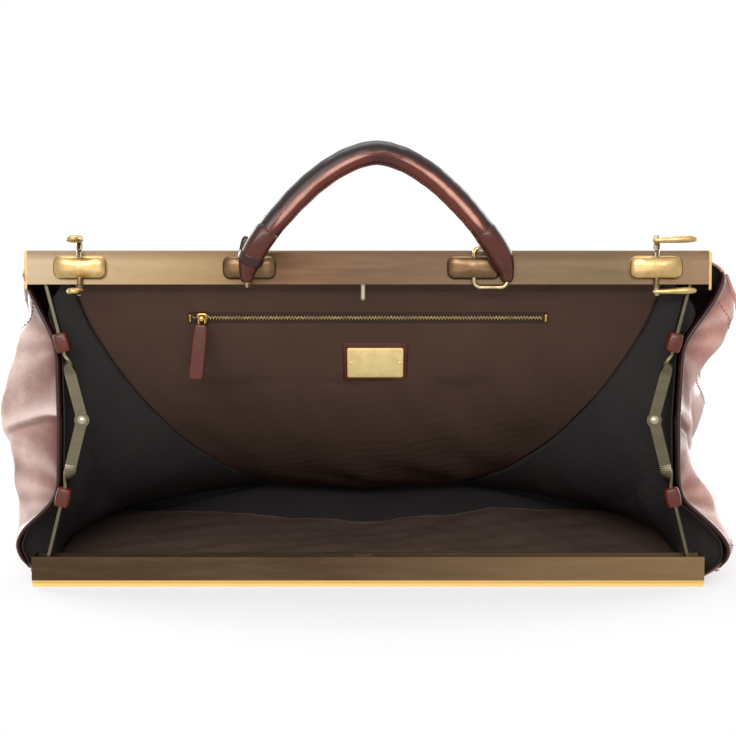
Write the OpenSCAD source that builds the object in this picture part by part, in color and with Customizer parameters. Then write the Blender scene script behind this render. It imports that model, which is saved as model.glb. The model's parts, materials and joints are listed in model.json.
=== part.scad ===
// Framed leather travel bag, lying on its front wall with the mouth frame held open.
// X runs along the frame bars, Y from the mouth into the bag, Z up from the resting face.

/* [Frame bars] */
// Length of the back bar over its end plates
bar_len = 540; // [460:1:640]
// Depth of both bars, from the bright face to the leather side
bar_depth = 19; // [18.5:0.5:24]
// Height of the back bar
back_bar_h = 26.5; // [25:0.5:32]
// Height of the front bar
front_bar_h = 24.5; // [23.5:0.5:30]
// Sheet thickness of the bars
bar_wall = 1.5; // [1:0.1:1.7]
// Thickness of the end plates
end_plate_t = 2; // [1.5:0.1:3]
// How far the back end plates reach past the bar towards the front bar
end_plate_drop = 4.5; // [2:0.5:6]
// Clear height between the bars with the mouth open
mouth_open = 216.5; // [190:0.5:240]
// Thickness of the strips that clamp the leather
clamp_t = 1.4; // [1:0.1:2]
// Width of the bright chamfer along the front bar
chamfer_w = 3; // [2:0.5:4]
// Height of the flat strip under that chamfer
base_strip_h = 2.5; // [2:0.5:4]

/* [Folding arms] */
// Distance of the arm pins from the end of the back bar
pin_inset = 12; // [11:0.5:20]
// Height of the lower pins above the front bar's underside
pin_rise_front = 12; // [11:0.5:13]
// Height of the upper pins above the back bar's underside
pin_rise_back = 13; // [12:0.5:14]
// How far the knees sit inside the line of the pins
knee_in = 30.5; // [24:0.5:40]
// Width of the steel strip
strip_w = 9; // [8:0.5:10]
// Thickness of the steel strip
strip_t = 2.4; // [1.5:0.1:2.6]
// Diameter of the round knee end
knee_d = 12; // [11:0.5:13]
// Diameter of the arm pins
pin_d = 3; // [2.5:0.1:3.5]
// Diameter of the knee rivet's domed head
rivet_head_d = 8; // [7:0.5:9]
// Length of the leather loops along the arms
loop_len = 15; // [10:0.5:18]
// Leather thickness of the loops
loop_wall = 1.3; // [1:0.1:1.5]

/* [Pads and clips] */
// Length of the domed pads
pad_len = 42; // [34:0.5:50]
// Height of the domed pads
pad_h = 18.5; // [16:0.5:20]
// How far the pads stand out from the bar
pad_proud = 8.2; // [7.9:0.1:10]
// Distance of each clip pad's middle from the end of the back bar
clip_pad_inset = 44; // [36:1:70]
// Distance of each handle pad from the handle's middle
handle_pad_x = 88; // [80:1:100]
// Offset of the handle's middle from the bar's middle
handle_mid_x = -5; // [-10:1:10]
// Diameter of the clip pins
clip_pin_d = 5.6; // [4:0.1:5.6]
// Length of a clip's leaves from the pin
leaf_len = 32; // [20:0.5:38]
// Height of a clip's leaves
leaf_h = 7; // [5:0.5:8]
// Thickness of a clip's leaves
leaf_t = 3.2; // [2:0.1:4]
// Wire diameter of the handle rings
ring_wire = 3.5; // [3:0.1:4]
// Reach of the handle rings from their pin
ring_reach = 26; // [25.5:0.5:32]
// Height of the handle rings between the wires' middles
ring_h = 31; // [29:0.5:36]

/* [Handle] */
// Thickness of the rolled handle
roll_d = 19; // [16:0.5:19]
// Height of the handle's hinge line above the back bar
handle_lift = 12.5; // [12:0.5:16]
// Rise of the handle's middle above its hinge line
handle_rise = 62; // [50:1:80]
// Half of the handle's width at the hinge line
handle_half = 85; // [80:1:90]
// Exponent that shapes the handle's peak, 2 for a parabola
handle_peak = 1.77; // [1.5:0.01:2.2]

/* [Locating pin] */
// Diameter of the locating pin
locator_d = 4.8; // [4:0.1:6]
// Length of the locating pin below the back bar
locator_len = 13.5; // [10:0.5:14]
// Offset of the locating pin from the bar's middle
locator_x = -4; // [-20:1:20]

/* [Leather body] */
// Depth of the bag from the mouth to the base
bag_depth = 285; // [240:1:340]
// Height of the base as the bag lies
base_h = 100; // [84:1:140]
// Thickness of the leather walls
leather_t = 3; // [2:0.1:4]
// How far the leather stops short of the back bar's ends
leather_inset = 6; // [4:0.5:14]
// How far the gussets bulge out past the leather's ends at the bars
gusset_bulge = 32; // [18:1:40]
// Height of the gussets' fold above the floor
gusset_fold_z = 125; // [110:1:140]
// Thickness of the lining
lining_t = 1.5; // [1:0.1:2]
// Height that the back lining flattens out to at the base
lining_low = 34; // [26:1:44]

/* [Pocket] */
// Length of the pocket's zip
zip_len = 286; // [240:1:300]
// Width of the zip's tape
tape_w = 20; // [16:0.5:24]
// Width of the zip's row of teeth
teeth_w = 4.4; // [3:0.1:6]
// Distance between the zip's teeth
tooth_pitch = 5.5; // [5:0.5:8]
// Width of the pocket bag
pocket_w = 310; // [300:1:340]
// Length of the leather zip pull
pull_len = 43; // [30:1:45]
// Width of the leather zip pull
pull_w = 14.5; // [10:0.5:16]
// Width of the leather label surround
label_w = 54; // [40:1:70]
// Height of the leather label surround
label_h = 38; // [30:1:40]
// Leather border round the label plate
label_border = 4; // [3:0.5:6]

/* [Clearances] */
// Gap between the bars when the bag is shut
shut_gap = 0.3; // [0.2:0.1:1]
// Gap round a pin in its bore, on the radius
pin_gap = 0.08; // [0.05:0.01:0.1]
// Gap between parts that pass each other
pass_gap = 0.3; // [0.2:0.05:0.4]

/* [Hidden] */
$fn = 48;
// Heights of the back bar and of the four arm pins
back_z = front_bar_h + mouth_open;
back_top = back_z + back_bar_h;
low_pin_z = pin_rise_front;
high_pin_z = back_z + pin_rise_back;
half_len = bar_len/2;
front_half = half_len - end_plate_t - pass_gap;
pin_x = half_len - pin_inset;
clip_pad_x = half_len - clip_pad_inset;
leather_half = half_len - leather_inset;
gusset_half = leather_half + gusset_bulge;
// Each arm half runs from its pin to the knee, leaning by arm_lean from upright
half_rise = (high_pin_z - low_pin_z)/2;
arm_len = sqrt(half_rise*half_rise + knee_in*knee_in);
arm_lean = atan2(knee_in, half_rise);
knee_z = low_pin_z + half_rise;
knee_x = pin_x - knee_in;
// The arms' strips lie side by side in the middle of the bars' depth
mid_y = bar_depth/2;
low_y = mid_y - strip_t/2 - pass_gap/2;
high_y = mid_y + strip_t/2 + pass_gap/2;
eye_d = pin_d + 3;
twist_from = 0.57*arm_len;
twist_to = 0.70*arm_len;
loop_at = 0.49*arm_len;
// Pads sit at the middle of the back bar's height, pins run through them
pad_z = back_z + back_bar_h/2;
pad_plate = 3;
clip_y = -(pad_proud - 0.9 - pass_gap - clip_pin_d/2);
left_ring_x = handle_mid_x - handle_pad_x;
right_ring_x = handle_mid_x + handle_pad_x;
sleeve_d = 2*(-clip_y - pass_gap);
sleeve_top = pad_z + ring_h/2 - ring_wire/2 - pass_gap;
sleeve_low = pad_z - ring_h/2 + ring_wire/2 + pass_gap;
// Hinge line of the handle, from the left foot to the right foot
foot_z = back_top + handle_lift;
foot_gap = ring_wire/2 + roll_d/2 + pass_gap;
left_foot = [handle_mid_x + 12 - handle_half, clip_y - ring_reach - foot_gap, foot_z];
right_foot = [handle_mid_x + 12 + handle_half, clip_y - foot_gap, foot_z];
// Leather walls
strip_y = bar_depth + clamp_t;
hem_y = strip_y + pass_gap + 0.1;
hem_t = 4.5;
wall_y = hem_y + hem_t + 2*pass_gap;
wall_top = back_z + 21;
base_y = bag_depth - leather_t;
roof_fall = 110;
wall_drop = 2*leather_t;
lining_z = leather_t + pass_gap;
lining_end = base_y - 8;
pocket_end = 78;
back_lining_y = pocket_end + 4;

// The back wall sags from the bar to the base: height of its outer face at depth y
function sag(y) = exp(-(y - wall_y)/roof_fall);
function roof_z(y) = base_h + (wall_top - base_h)*(sag(y) - sag(bag_depth))/(1 - sag(bag_depth));
// Half width of the gussets at height z
function gusset_x(z) = z < gusset_fold_z
    ? leather_half + (gusset_half - leather_half)*z/gusset_fold_z
    : gusset_half - (gusset_half - leather_half)*(z - gusset_fold_z)/(wall_top - gusset_fold_z);
// The back lining hangs from the bar in a curve that flattens towards the base
lining_start = wall_y - 1.9;
lining_fall = bag_depth/3;
lining_hang = back_z + 2 - lining_low;
function lining_curve(y) = lining_low + lining_hang*exp(-(y - lining_start)/lining_fall);
function lining_steep(y) = lining_hang/lining_fall*exp(-(y - lining_start)/lining_fall);

bronze = "#8c7056";
brass = "#c9ae85";
gold = "#d9b766";
steel = "#8d8a72";
leather = "#7a4030";
cloth = "#3a2c2a";

// Cylinder along Y from y0 to y1
module rod_y(x, y0, y1, z, d) {
    translate([x, y0, z]) rotate([-90, 0, 0]) cylinder(d=d, h=y1 - y0);
}
// Prism along X from a profile in Y and Z
module along_x(x0, x1, profile) {
    translate([x0, 0, 0]) rotate([90, 0, 90]) linear_extrude(x1 - x0) polygon(profile);
}
// Prism along Y from an outline in X and Z
module along_y(y0, y1, outline) {
    translate([0, y1, 0]) rotate([90, 0, 0]) linear_extrude(y1 - y0) polygon(outline);
}

// Bars

module front_bar() {
    w = bar_wall;
    c = chamfer_w;
    s = base_strip_h;
    color(bronze) difference() {
        along_x(-front_half + end_plate_t, front_half - end_plate_t, [
            [0, s + c], [c, s], [c, 0], [bar_depth, 0], [bar_depth, front_bar_h],
            [bar_depth - w, front_bar_h], [bar_depth - w, w], [c + w, w], [c + w, s + 0.4*w],
            [w, s + c + 0.4*w], [w, front_bar_h], [0, front_bar_h]]);
        for (side = [-1, 1])
            rod_y(side*pin_x, bar_depth - 2*w, bar_depth + 1, low_pin_z, pin_d + 2*pin_gap);
        strip_rivet_spots() rod_y(0, bar_depth - 2*w, bar_depth + 1, front_bar_h/2 + 2, 3);
    }
}
module back_bar() {
    w = bar_wall;
    color(brass) difference() {
        along_x(-half_len + end_plate_t, half_len - end_plate_t, [
            [0, back_z], [0, back_top - w], [w, back_top], [bar_depth, back_top],
            [bar_depth, back_z], [bar_depth - w, back_z], [bar_depth - w, back_top - w],
            [2*w, back_top - w], [w, back_top - 2*w], [w, back_z]]);
        for (side = [-1, 1])
            rod_y(side*pin_x, bar_depth - 2*w, bar_depth + 1, high_pin_z, pin_d + 2*pin_gap);
        strip_rivet_spots() rod_y(0, bar_depth - 2*w, bar_depth + 1, back_z + 10, 3);
    }
}
module front_bar_ends() {
    color(bronze) for (side = [-1, 1])
        along_x(side*(front_half - end_plate_t/2) - end_plate_t/2,
            side*(front_half - end_plate_t/2) + end_plate_t/2, [
            [0, base_strip_h + chamfer_w], [chamfer_w, base_strip_h], [chamfer_w, 0],
            [bar_depth, 0], [bar_depth, front_bar_h], [0, front_bar_h]]);
}
module back_bar_ends() {
    low = back_z - end_plate_drop;
    color(gold) for (side = [-1, 1])
        along_x(side*(half_len - end_plate_t/2) - end_plate_t/2,
            side*(half_len - end_plate_t/2) + end_plate_t/2, [
            [0, low + 1], [1, low], [bar_depth, low], [bar_depth, back_top],
            [bar_wall, back_top], [0, back_top - bar_wall]]);
}
// Six places along a bar, used for its clamping strip
module strip_rivet_spots() {
    for (i = [-2.5:2.5]) translate([i*bar_len/6.4, 0, 0]) children();
}
module clamp_strip(z, h, rivet_z) {
    reach = front_half - 26;
    color(bronze) difference() {
        along_x(-reach, reach, [[bar_depth, z], [strip_y, z], [strip_y, z + h], [bar_depth, z + h]]);
        strip_rivet_spots() rod_y(0, bar_depth - 1, strip_y + 1, rivet_z, 3);
    }
}
module front_clamp_strip() { clamp_strip(6, front_bar_h - 10, front_bar_h/2 + 2); }
module back_clamp_strip() { clamp_strip(back_z + 3, 14, back_z + 10); }
module strip_rivets(z) {
    color(steel) strip_rivet_spots() {
        rod_y(0, bar_depth - bar_wall, strip_y, z, 3 - 2*pin_gap);
        rod_y(0, bar_depth - bar_wall - 0.8, bar_depth - bar_wall, z, 5);
    }
}
module front_strip_rivets() { strip_rivets(front_bar_h/2 + 2); }
module back_strip_rivets() { strip_rivets(back_z + 10); }
// Each arm pin rests in the bar's rear wall, with its head outside
module arm_pins(z) {
    color(steel) for (side = [-1, 1]) {
        rod_y(side*pin_x, bar_wall + 0.1, bar_depth + 0.1, z, pin_d);
        rod_y(side*pin_x, bar_depth, strip_y - 0.1, z, pin_d + 2.5);
    }
}
module front_arm_pins() { arm_pins(low_pin_z); }
module back_arm_pins() { arm_pins(high_pin_z); }

// Locating pin on a bridge inside the back bar, and its socket in the front bar

module locating_pin() {
    tip = back_z - locator_len;
    color(gold) {
        translate([locator_x, mid_y, tip + locator_d/2])
            cylinder(d=locator_d, h=locator_len + 2 - locator_d/2);
        translate([locator_x, mid_y, tip + locator_d/2]) sphere(d=locator_d);
        translate([locator_x - 11, bar_wall, back_z + 0.5])
            cube([22, bar_depth - 2*bar_wall, 2]);
    }
}
module pin_socket() {
    color(bronze) difference() {
        translate([locator_x - 8, bar_wall + chamfer_w, base_strip_h + 1.2])
            cube([16, bar_depth - 2*bar_wall - chamfer_w, front_bar_h - base_strip_h - 4]);
        translate([locator_x, mid_y, front_bar_h + shut_gap - locator_len - 1.5])
            cylinder(d=locator_d + 2*pass_gap, h=locator_len + 4);
    }
}

// Domed pads: a rounded plate and two flattened balls, hulled

module pad(x, bore_d) {
    corner = 6;
    color(brass) translate([x, 0, pad_z]) difference() {
        hull() {
            rotate([90, 0, 0]) linear_extrude(pad_plate) for (sx = [-1, 1], sz = [-1, 1])
                translate([sx*(pad_len/2 - corner), sz*(pad_h/2 - corner)]) circle(corner, $fn=32);
            intersection() {
                for (sx = [-1, 1]) translate([sx*(pad_len/2 - pad_h/2 - 1), 0, 0])
                    scale([1, 2*pad_proud/pad_h, 1]) sphere(d=pad_h - 0.6, $fn=32);
                translate([-pad_len, -2*pad_proud, -pad_h]) cube([2*pad_len, 2*pad_proud, 2*pad_h]);
            }
        }
        translate([0, clip_y, 0]) cylinder(d=bore_d, h=pad_h + 4, center=true);
    }
}
module left_clip_pad() { pad(-clip_pad_x, clip_pin_d + 2*pin_gap); }
module right_clip_pad() { pad(clip_pad_x, clip_pin_d + 2*pin_gap); }
module left_handle_pad() { pad(left_ring_x, ring_wire + 2*pin_gap); }
module right_handle_pad() { pad(right_ring_x, ring_wire + 2*pin_gap); }

// Turn clip: one pin with a leaf above the bar and one below it, both pointing the same way

module clip_leaf(z) {
    translate([0, -leaf_t/2, z]) cube([leaf_len - leaf_h/2, leaf_t, leaf_h]);
    rod_y(leaf_len - leaf_h/2, -leaf_t/2, leaf_t/2, z + leaf_h/2, leaf_h);
}
module clip(x, turn) {
    low = back_z - 2 - leaf_h;
    high = back_top + 5;
    color(gold) translate([x, clip_y, 0]) rotate([0, 0, turn]) {
        translate([0, 0, low]) cylinder(d=clip_pin_d, h=high + leaf_h - low);
        clip_leaf(low);
        clip_leaf(high);
    }
}
module left_clip() { clip(-clip_pad_x, -90); }
module right_clip() { clip(clip_pad_x, 0); }

// Handle rings: a rectangle of wire whose inner leg turns in its pad

module wire_ring(x, turn) {
    h = ring_h/2;
    color(gold) translate([x, clip_y, pad_z]) rotate([0, 0, turn]) {
        for (rx = [0, ring_reach]) {
            translate([rx, 0, -h]) cylinder(d=ring_wire, h=ring_h);
            for (s = [-1, 1]) translate([rx, 0, s*h]) sphere(d=ring_wire);
        }
        for (s = [-1, 1]) translate([0, 0, s*h]) rotate([0, 90, 0])
            cylinder(d=ring_wire, h=ring_reach);
    }
}
module left_ring() { wire_ring(left_ring_x, -90); }
module right_ring() { wire_ring(right_ring_x, 0); }

// End loops: a leather sleeve round the ring's outer leg and a tongue up to the handle's foot

module end_loop(leg, foot) {
    tongue_y = leg[1] - ring_wire/2 - pass_gap;
    top = foot[2] - roll_d/2 - pass_gap;
    side = foot[0] < leg[0] ? -1 : 1;
    color(leather) difference() {
        union() {
            translate([leg[0], leg[1], sleeve_low])
                cylinder(d=sleeve_d, h=sleeve_top - sleeve_low);
            hull() {
                translate([leg[0] - 6, tongue_y - 6.5, sleeve_low]) cube([12, 6.5, sleeve_top - sleeve_low]);
                translate([(foot[0] + leg[0])/2 - 7, foot[1] - 4, top - 6]) cube([14, 8, 6]);
            }
        }
        translate([leg[0], leg[1], sleeve_low - 1])
            cylinder(d=ring_wire + 2*pin_gap, h=sleeve_top - sleeve_low + 2);
    }
}
module left_end_loop() { end_loop([left_ring_x, clip_y - ring_reach], left_foot); }
module right_end_loop() { end_loop([right_ring_x + ring_reach, clip_y], right_foot); }

// Handle roll: rings of points swept along the peaked arch, drawn in to a ball at each foot
arch_steps = 34;
ball_steps = 4;
roll_sides = 16;
function arch_z(u) = foot_z + handle_rise*(1 - pow(abs(u), handle_peak));
function arch_at(u) = [for (i = [0, 1]) (left_foot[i] + right_foot[i])/2
    + u*(right_foot[i] - left_foot[i])/2];
function arch_point(u) = concat(arch_at(u), [arch_z(u)]);
function unit(v) = v/norm(v);
function arch_tangent(u) = unit(arch_point(u + 0.01) - arch_point(u - 0.01));
// Each ring is [its place on the arch, its angle round the ball at the foot]
arch_rings = concat([for (k = [ball_steps:-1:1]) [-1, 85*k/ball_steps]],
    [for (k = [0:arch_steps]) [-1 + 2*k/arch_steps, 0]],
    [for (k = [1:ball_steps]) [1, 85*k/ball_steps]]);
module handle_roll() {
    across = unit([-(right_foot - left_foot)[1], (right_foot - left_foot)[0], 0]);
    points = [for (ring = arch_rings) let (u = ring[0], t = arch_tangent(u),
            middle = arch_point(u) + sign(u)*sin(ring[1])*roll_d/2*t, r = roll_d/2*cos(ring[1]))
        for (j = [0:roll_sides - 1]) let (a = 360*j/roll_sides)
            middle + r*(cos(a)*across + sin(a)*cross(t, across))];
    last = (len(arch_rings) - 1)*roll_sides;
    sides = [for (k = [0:roll_sides:last - 1], j = [0:roll_sides - 1]) let (n = (j + 1)%roll_sides)
        each [[k + j, k + roll_sides + n, k + n], [k + j, k + roll_sides + j, k + roll_sides + n]]];
    ends = [for (j = [1:roll_sides - 2])
        each [[0, j, j + 1], [last, last + j + 1, last + j]]];
    color(leather) polyhedron(points, concat(sides, ends));
}

// Folding arms: an eye on the bar's pin, a strip edge on, a quarter twist and a flat knee end

module arm(blade_y, side) {
    bore_d = pin_d + 2*pin_gap;
    lap = 0.4;
    color(steel) difference() {
        union() {
            rod_y(0, blade_y - strip_w/2, blade_y + strip_w/2, 0, eye_d);
            translate([-strip_t/2, blade_y - strip_w/2, 0]) cube([strip_t, strip_w, twist_from + lap]);
            translate([0, blade_y, twist_from]) linear_extrude(twist_to - twist_from,
                twist=-side*90, slices=10, segments=4) square([strip_t, strip_w], center=true);
            translate([-strip_w/2, blade_y - strip_t/2, twist_to - lap])
                cube([strip_w, strip_t, arm_len - twist_to + lap]);
            rod_y(0, blade_y - strip_t/2, blade_y + strip_t/2, arm_len, knee_d);
        }
        rod_y(0, blade_y - strip_w, blade_y + strip_w, 0, bore_d);
        rod_y(0, blade_y - strip_w, blade_y + strip_w, arm_len, pin_d + 1 + 2*pin_gap);
    }
}
module arm_loop(blade_y) {
    color(leather) translate([0, blade_y, loop_at]) difference() {
        cube([strip_t + 2*pin_gap + 2*loop_wall + 2, strip_w + 2*pin_gap + 2*loop_wall,
            loop_len], center=true);
        cube([strip_t + 2*pin_gap, strip_w + 2*pin_gap, loop_len + 2], center=true);
    }
}
// Places an arm half: side is -1 for left, way is 1 for the lower half and -1 for the upper
module arm_place(side, way) {
    translate([side*pin_x, 0, way > 0 ? low_pin_z : high_pin_z])
        rotate([0, way > 0 ? -side*arm_lean : 180 + side*arm_lean, 0]) children();
}
module left_lower_arm() { arm_place(-1, 1) arm(low_y, -1); }
module left_upper_arm() { arm_place(-1, -1) arm(high_y, -1); }
module right_lower_arm() { arm_place(1, 1) arm(low_y, 1); }
module right_upper_arm() { arm_place(1, -1) arm(high_y, 1); }
module left_lower_loop() { arm_place(-1, 1) arm_loop(low_y); }
module left_upper_loop() { arm_place(-1, -1) arm_loop(high_y); }
module right_lower_loop() { arm_place(1, 1) arm_loop(low_y); }
module right_upper_loop() { arm_place(1, -1) arm_loop(high_y); }

module knee_rivet(side) {
    front = low_y - strip_t/2;
    rear = high_y + strip_t/2;
    dome_r = rivet_head_d*0.62;
    color(gold) {
        rod_y(side*knee_x, front - 0.1, rear + pass_gap + 0.1, knee_z, pin_d + 1);
        rod_y(side*knee_x, rear + pass_gap, rear + pass_gap + 1.2, knee_z, rivet_head_d - 1);
        intersection() {
            translate([side*knee_x, front - 2 + dome_r, knee_z]) sphere(r=dome_r);
            rod_y(side*knee_x, front - 3, front, knee_z, rivet_head_d);
        }
    }
}
module left_knee_rivet() { knee_rivet(-1); }
module right_knee_rivet() { knee_rivet(1); }

// Leather walls

module front_wall() {
    corner = 20;
    color(leather) linear_extrude(leather_t) difference() {
        polygon([[-leather_half, wall_y], [-gusset_half + 8, 0.5*bag_depth],
            [-gusset_half + 8, bag_depth - corner], [corner - gusset_half + 8, bag_depth],
            [gusset_half - 8 - corner, bag_depth], [gusset_half - 8, bag_depth - corner],
            [gusset_half - 8, 0.5*bag_depth], [leather_half, wall_y]]);
    }
}
roof_steps = 14;
// Side view of everything under the height roof_z less drop, between depths y0 and y1, down to z
function under(y0, y1, drop, z) = concat([[y1, z], [y0, z]],
    [for (i = [0:roof_steps]) let (y = y0 + i*(y1 - y0)/roof_steps) [y, roof_z(y) - drop]]);
module back_wall() {
    color(leather) intersection() {
        difference() {
            along_x(-gusset_half, gusset_half, under(wall_y, bag_depth, 0, 0));
            along_x(-gusset_half - 1, gusset_half + 1, under(wall_y, bag_depth, wall_drop, -1));
        }
        linear_extrude(wall_top + 1) polygon([[-leather_half, wall_y],
            [-gusset_half, 0.5*bag_depth], [-gusset_half, bag_depth], [gusset_half, bag_depth],
            [gusset_half, 0.5*bag_depth], [leather_half, wall_y]]);
    }
}
// Outline of the bag's inside in X and Z, drawn in by inset
function girth(inset, z0, z1) = [[-gusset_x(z0) + inset, z0], [gusset_x(z0) - inset, z0],
    [gusset_half - inset, gusset_fold_z], [gusset_x(z1) - inset, z1],
    [inset - gusset_x(z1), z1], [inset - gusset_half, gusset_fold_z]];
// Space between the front wall and the back wall, between depths y0 and y1
module under_roof(y0, y1, gap) {
    along_x(-gusset_half - 1, gusset_half + 1, under(y0, y1, wall_drop + gap, leather_t + gap));
}
module side_panel(side, inset, t, y0, y1, gap) {
    intersection() {
        under_roof(y0, y1, gap);
        difference() {
            along_y(y0, y1, girth(inset, 0, wall_top));
            along_y(y0 - 1, y1 + 1, girth(inset + t, -5, wall_top + 5));
        }
        translate([side > 0 ? 0 : -gusset_half - 1, 0, 0]) cube([gusset_half + 1, bag_depth, wall_top]);
    }
}
module left_gusset() { color(leather) side_panel(-1, 0, leather_t, wall_y, base_y - pass_gap, 0); }
module right_gusset() { color(leather) side_panel(1, 0, leather_t, wall_y, base_y - pass_gap, 0); }
module left_gusset_lining() {
    color(cloth) side_panel(-1, leather_t + pass_gap, lining_t, wall_y + 2, lining_end, pass_gap);
}
module right_gusset_lining() {
    color(cloth) side_panel(1, leather_t + pass_gap, lining_t, wall_y + 2, lining_end, pass_gap);
}
module base_panel() {
    color(leather) intersection() {
        under_roof(base_y, bag_depth, 0);
        along_y(base_y, bag_depth, girth(8, 0, wall_top));
    }
}
module base_lining() {
    color(cloth) intersection() {
        under_roof(lining_end + pass_gap, lining_end + pass_gap + lining_t, pass_gap);
        along_y(lining_end, base_y, girth(leather_t + 1, 0, wall_top));
    }
}
module front_lining() {
    reach = leather_half - leather_t - lining_t - 3;
    color(cloth) translate([-reach, wall_y + 2, lining_z])
        cube([2*reach, lining_end - wall_y - 2, lining_t]);
}
// The back lining's far part, behind the pocket
module back_lining() {
    reach = leather_half - leather_t - lining_t - 4;
    far = lining_end - pass_gap;
    step = (far - back_lining_y)/10;
    top = [for (i = [0:10]) let (y = back_lining_y + i*step) [y, lining_curve(y)]];
    low = [for (i = [10:-1:0]) [top[i][0], top[i][1] - lining_t]];
    color(cloth) along_x(-reach, reach, concat(top, low));
}
module front_hem() {
    color(leather) translate([-leather_half, hem_y - 0.4, 0]) cube([2*leather_half, hem_t, front_bar_h - 2]);
}
module back_hem() {
    color(leather) translate([-leather_half, hem_y, back_z + 2])
        cube([2*leather_half, hem_t, wall_top - back_z - 2]);
}

// Pocket, hung below the back hem along the lining's curve

// Puts its children on the lining at depth y: local Z up the slope, local -Y towards the mouth
module on_lining(x, y) {
    translate([x, y, lining_curve(y)]) rotate([atan2(1, lining_steep(y)), 0, 0]) children();
}
zip_y = pocket_end - 40;
label_y = pocket_end - 18;
label_x = 6;
slider_x = -zip_len/2 + 9;
tape_t = 1;
teeth_t = 1.2;
module pocket_bag() {
    y0 = hem_y + hem_t + pass_gap;
    head = wall_top - wall_drop - 6;
    step = (pocket_end - y0)/8;
    face = [for (i = [0:8]) [y0 + i*step, lining_curve(y0 + i*step)]];
    rear = [for (i = [8:-1:0]) face[i] + [2, 3]];
    color(cloth) along_x(-pocket_w/2, pocket_w/2, concat([[y0, head]], face, rear, [[y0 + 2, head]]));
}
module zip_tape() {
    color(cloth) on_lining(0, zip_y) translate([-zip_len/2 - 4, -tape_t - pass_gap, -tape_w/2])
        cube([zip_len + 8, tape_t, tape_w]);
}
module zip_teeth() {
    count = floor((zip_len - 4)/tooth_pitch);
    back = -tape_t - pass_gap;
    color(gold) on_lining(0, zip_y) {
        translate([-count*tooth_pitch/2, back - teeth_t/2, -teeth_w/4])
            cube([count*tooth_pitch, teeth_t/2, teeth_w/2]);
        for (i = [0:count - 1])
            translate([(i - count/2)*tooth_pitch, back - teeth_t, (i%2 - 1)*teeth_w/2])
                cube([tooth_pitch/2, teeth_t, teeth_w/2]);
    }
}
module zip_stops() {
    color(gold) on_lining(0, zip_y) for (s = [-1, 1])
        translate([s*(zip_len/2 + 1.2) - 1, -tape_t - pass_gap - 1.6, -3.5]) cube([2, 1.6, 7]);
}
// The slider straddles the teeth and carries a stud for the pull ring
slider_face = -tape_t - pass_gap - teeth_t - 0.2;
stud_y = zip_y - 10.5;
stud_z = lining_curve(zip_y) - 1.5;
module zip_slider() {
    color(gold) {
        on_lining(slider_x, zip_y) translate([-5, slider_face - 2.4, -5.5]) cube([10, 2.4, 11]);
        rod_y(slider_x, stud_y, zip_y - 4.6, stud_z, 2.4);
        rod_y(slider_x, stud_y, stud_y + 1, stud_z, 4.4);
    }
}
module pull_ring() {
    y0 = stud_y + 1.15;
    color(gold) difference() {
        union() {
            rod_y(slider_x, y0, y0 + 1.4, stud_z, 8);
            translate([slider_x - 3, y0, stud_z - 13]) cube([6, 1.4, 12]);
        }
        rod_y(slider_x, y0 - 1, y0 + 3, stud_z, 2.4 + 2*pin_gap);
    }
}
module leather_pull() {
    y0 = stud_y + 1.15;
    top = stud_z - 4.5;
    wall = 1.2;
    color(leather) difference() {
        translate([0, y0 + 1.4 + wall, 0]) rotate([90, 0, 0]) linear_extrude(1.4 + 2*wall) {
            translate([slider_x - pull_w/2, top - pull_len + pull_w/2]) square([pull_w, pull_len - pull_w]);
            translate([slider_x, top - pull_len + pull_w/2]) circle(d=pull_w);
            translate([slider_x, top - pull_w/2]) circle(d=pull_w);
        }
        translate([slider_x - 3.1, y0 - 0.05, stud_z - 13.1]) cube([6.2, 1.5, 20]);
    }
}
module label_surround() {
    color(leather) on_lining(label_x, label_y)
        translate([-label_w/2, -2 - pass_gap, -label_h/2]) cube([label_w, 2, label_h]);
}
module label_plate() {
    w = label_w - 2*label_border;
    h = label_h - 2*label_border;
    color(gold) on_lining(label_x, label_y)
        translate([-w/2, -3 - pass_gap, -h/2]) cube([w, 1, h]);
}
module label_pins() {
    reach = label_w/2 - label_border - 3;
    color(brass) on_lining(label_x, label_y) for (s = [-1, 1])
        rod_y(s*reach, -3.7 - pass_gap, -3 - pass_gap, 0, 2.6);
}

// The origin lies on the resting face, under the middle of the front bar's depth
module seated() { translate([0, -mid_y, 0]) children(); }

seated() front_wall();
seated() back_wall();
seated() base_panel();
seated() left_gusset();
seated() right_gusset();
seated() front_lining();
seated() back_lining();
seated() base_lining();
seated() left_gusset_lining();
seated() right_gusset_lining();
seated() front_hem();
seated() back_hem();
seated() front_bar();
seated() front_bar_ends();
seated() front_clamp_strip();
seated() front_strip_rivets();
seated() front_arm_pins();
seated() pin_socket();
seated() back_bar();
seated() back_bar_ends();
seated() back_clamp_strip();
seated() back_strip_rivets();
seated() back_arm_pins();
seated() locating_pin();
seated() left_clip_pad();
seated() right_clip_pad();
seated() left_handle_pad();
seated() right_handle_pad();
seated() left_clip();
seated() right_clip();
seated() left_ring();
seated() right_ring();
seated() left_end_loop();
seated() right_end_loop();
seated() handle_roll();
seated() left_lower_arm();
seated() left_upper_arm();
seated() right_lower_arm();
seated() right_upper_arm();
seated() left_knee_rivet();
seated() right_knee_rivet();
seated() left_lower_loop();
seated() left_upper_loop();
seated() right_lower_loop();
seated() right_upper_loop();
seated() pocket_bag();
seated() zip_tape();
seated() zip_teeth();
seated() zip_stops();
seated() zip_slider();
seated() pull_ring();
seated() leather_pull();
seated() label_surround();
seated() label_plate();
seated() label_pins();
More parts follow.
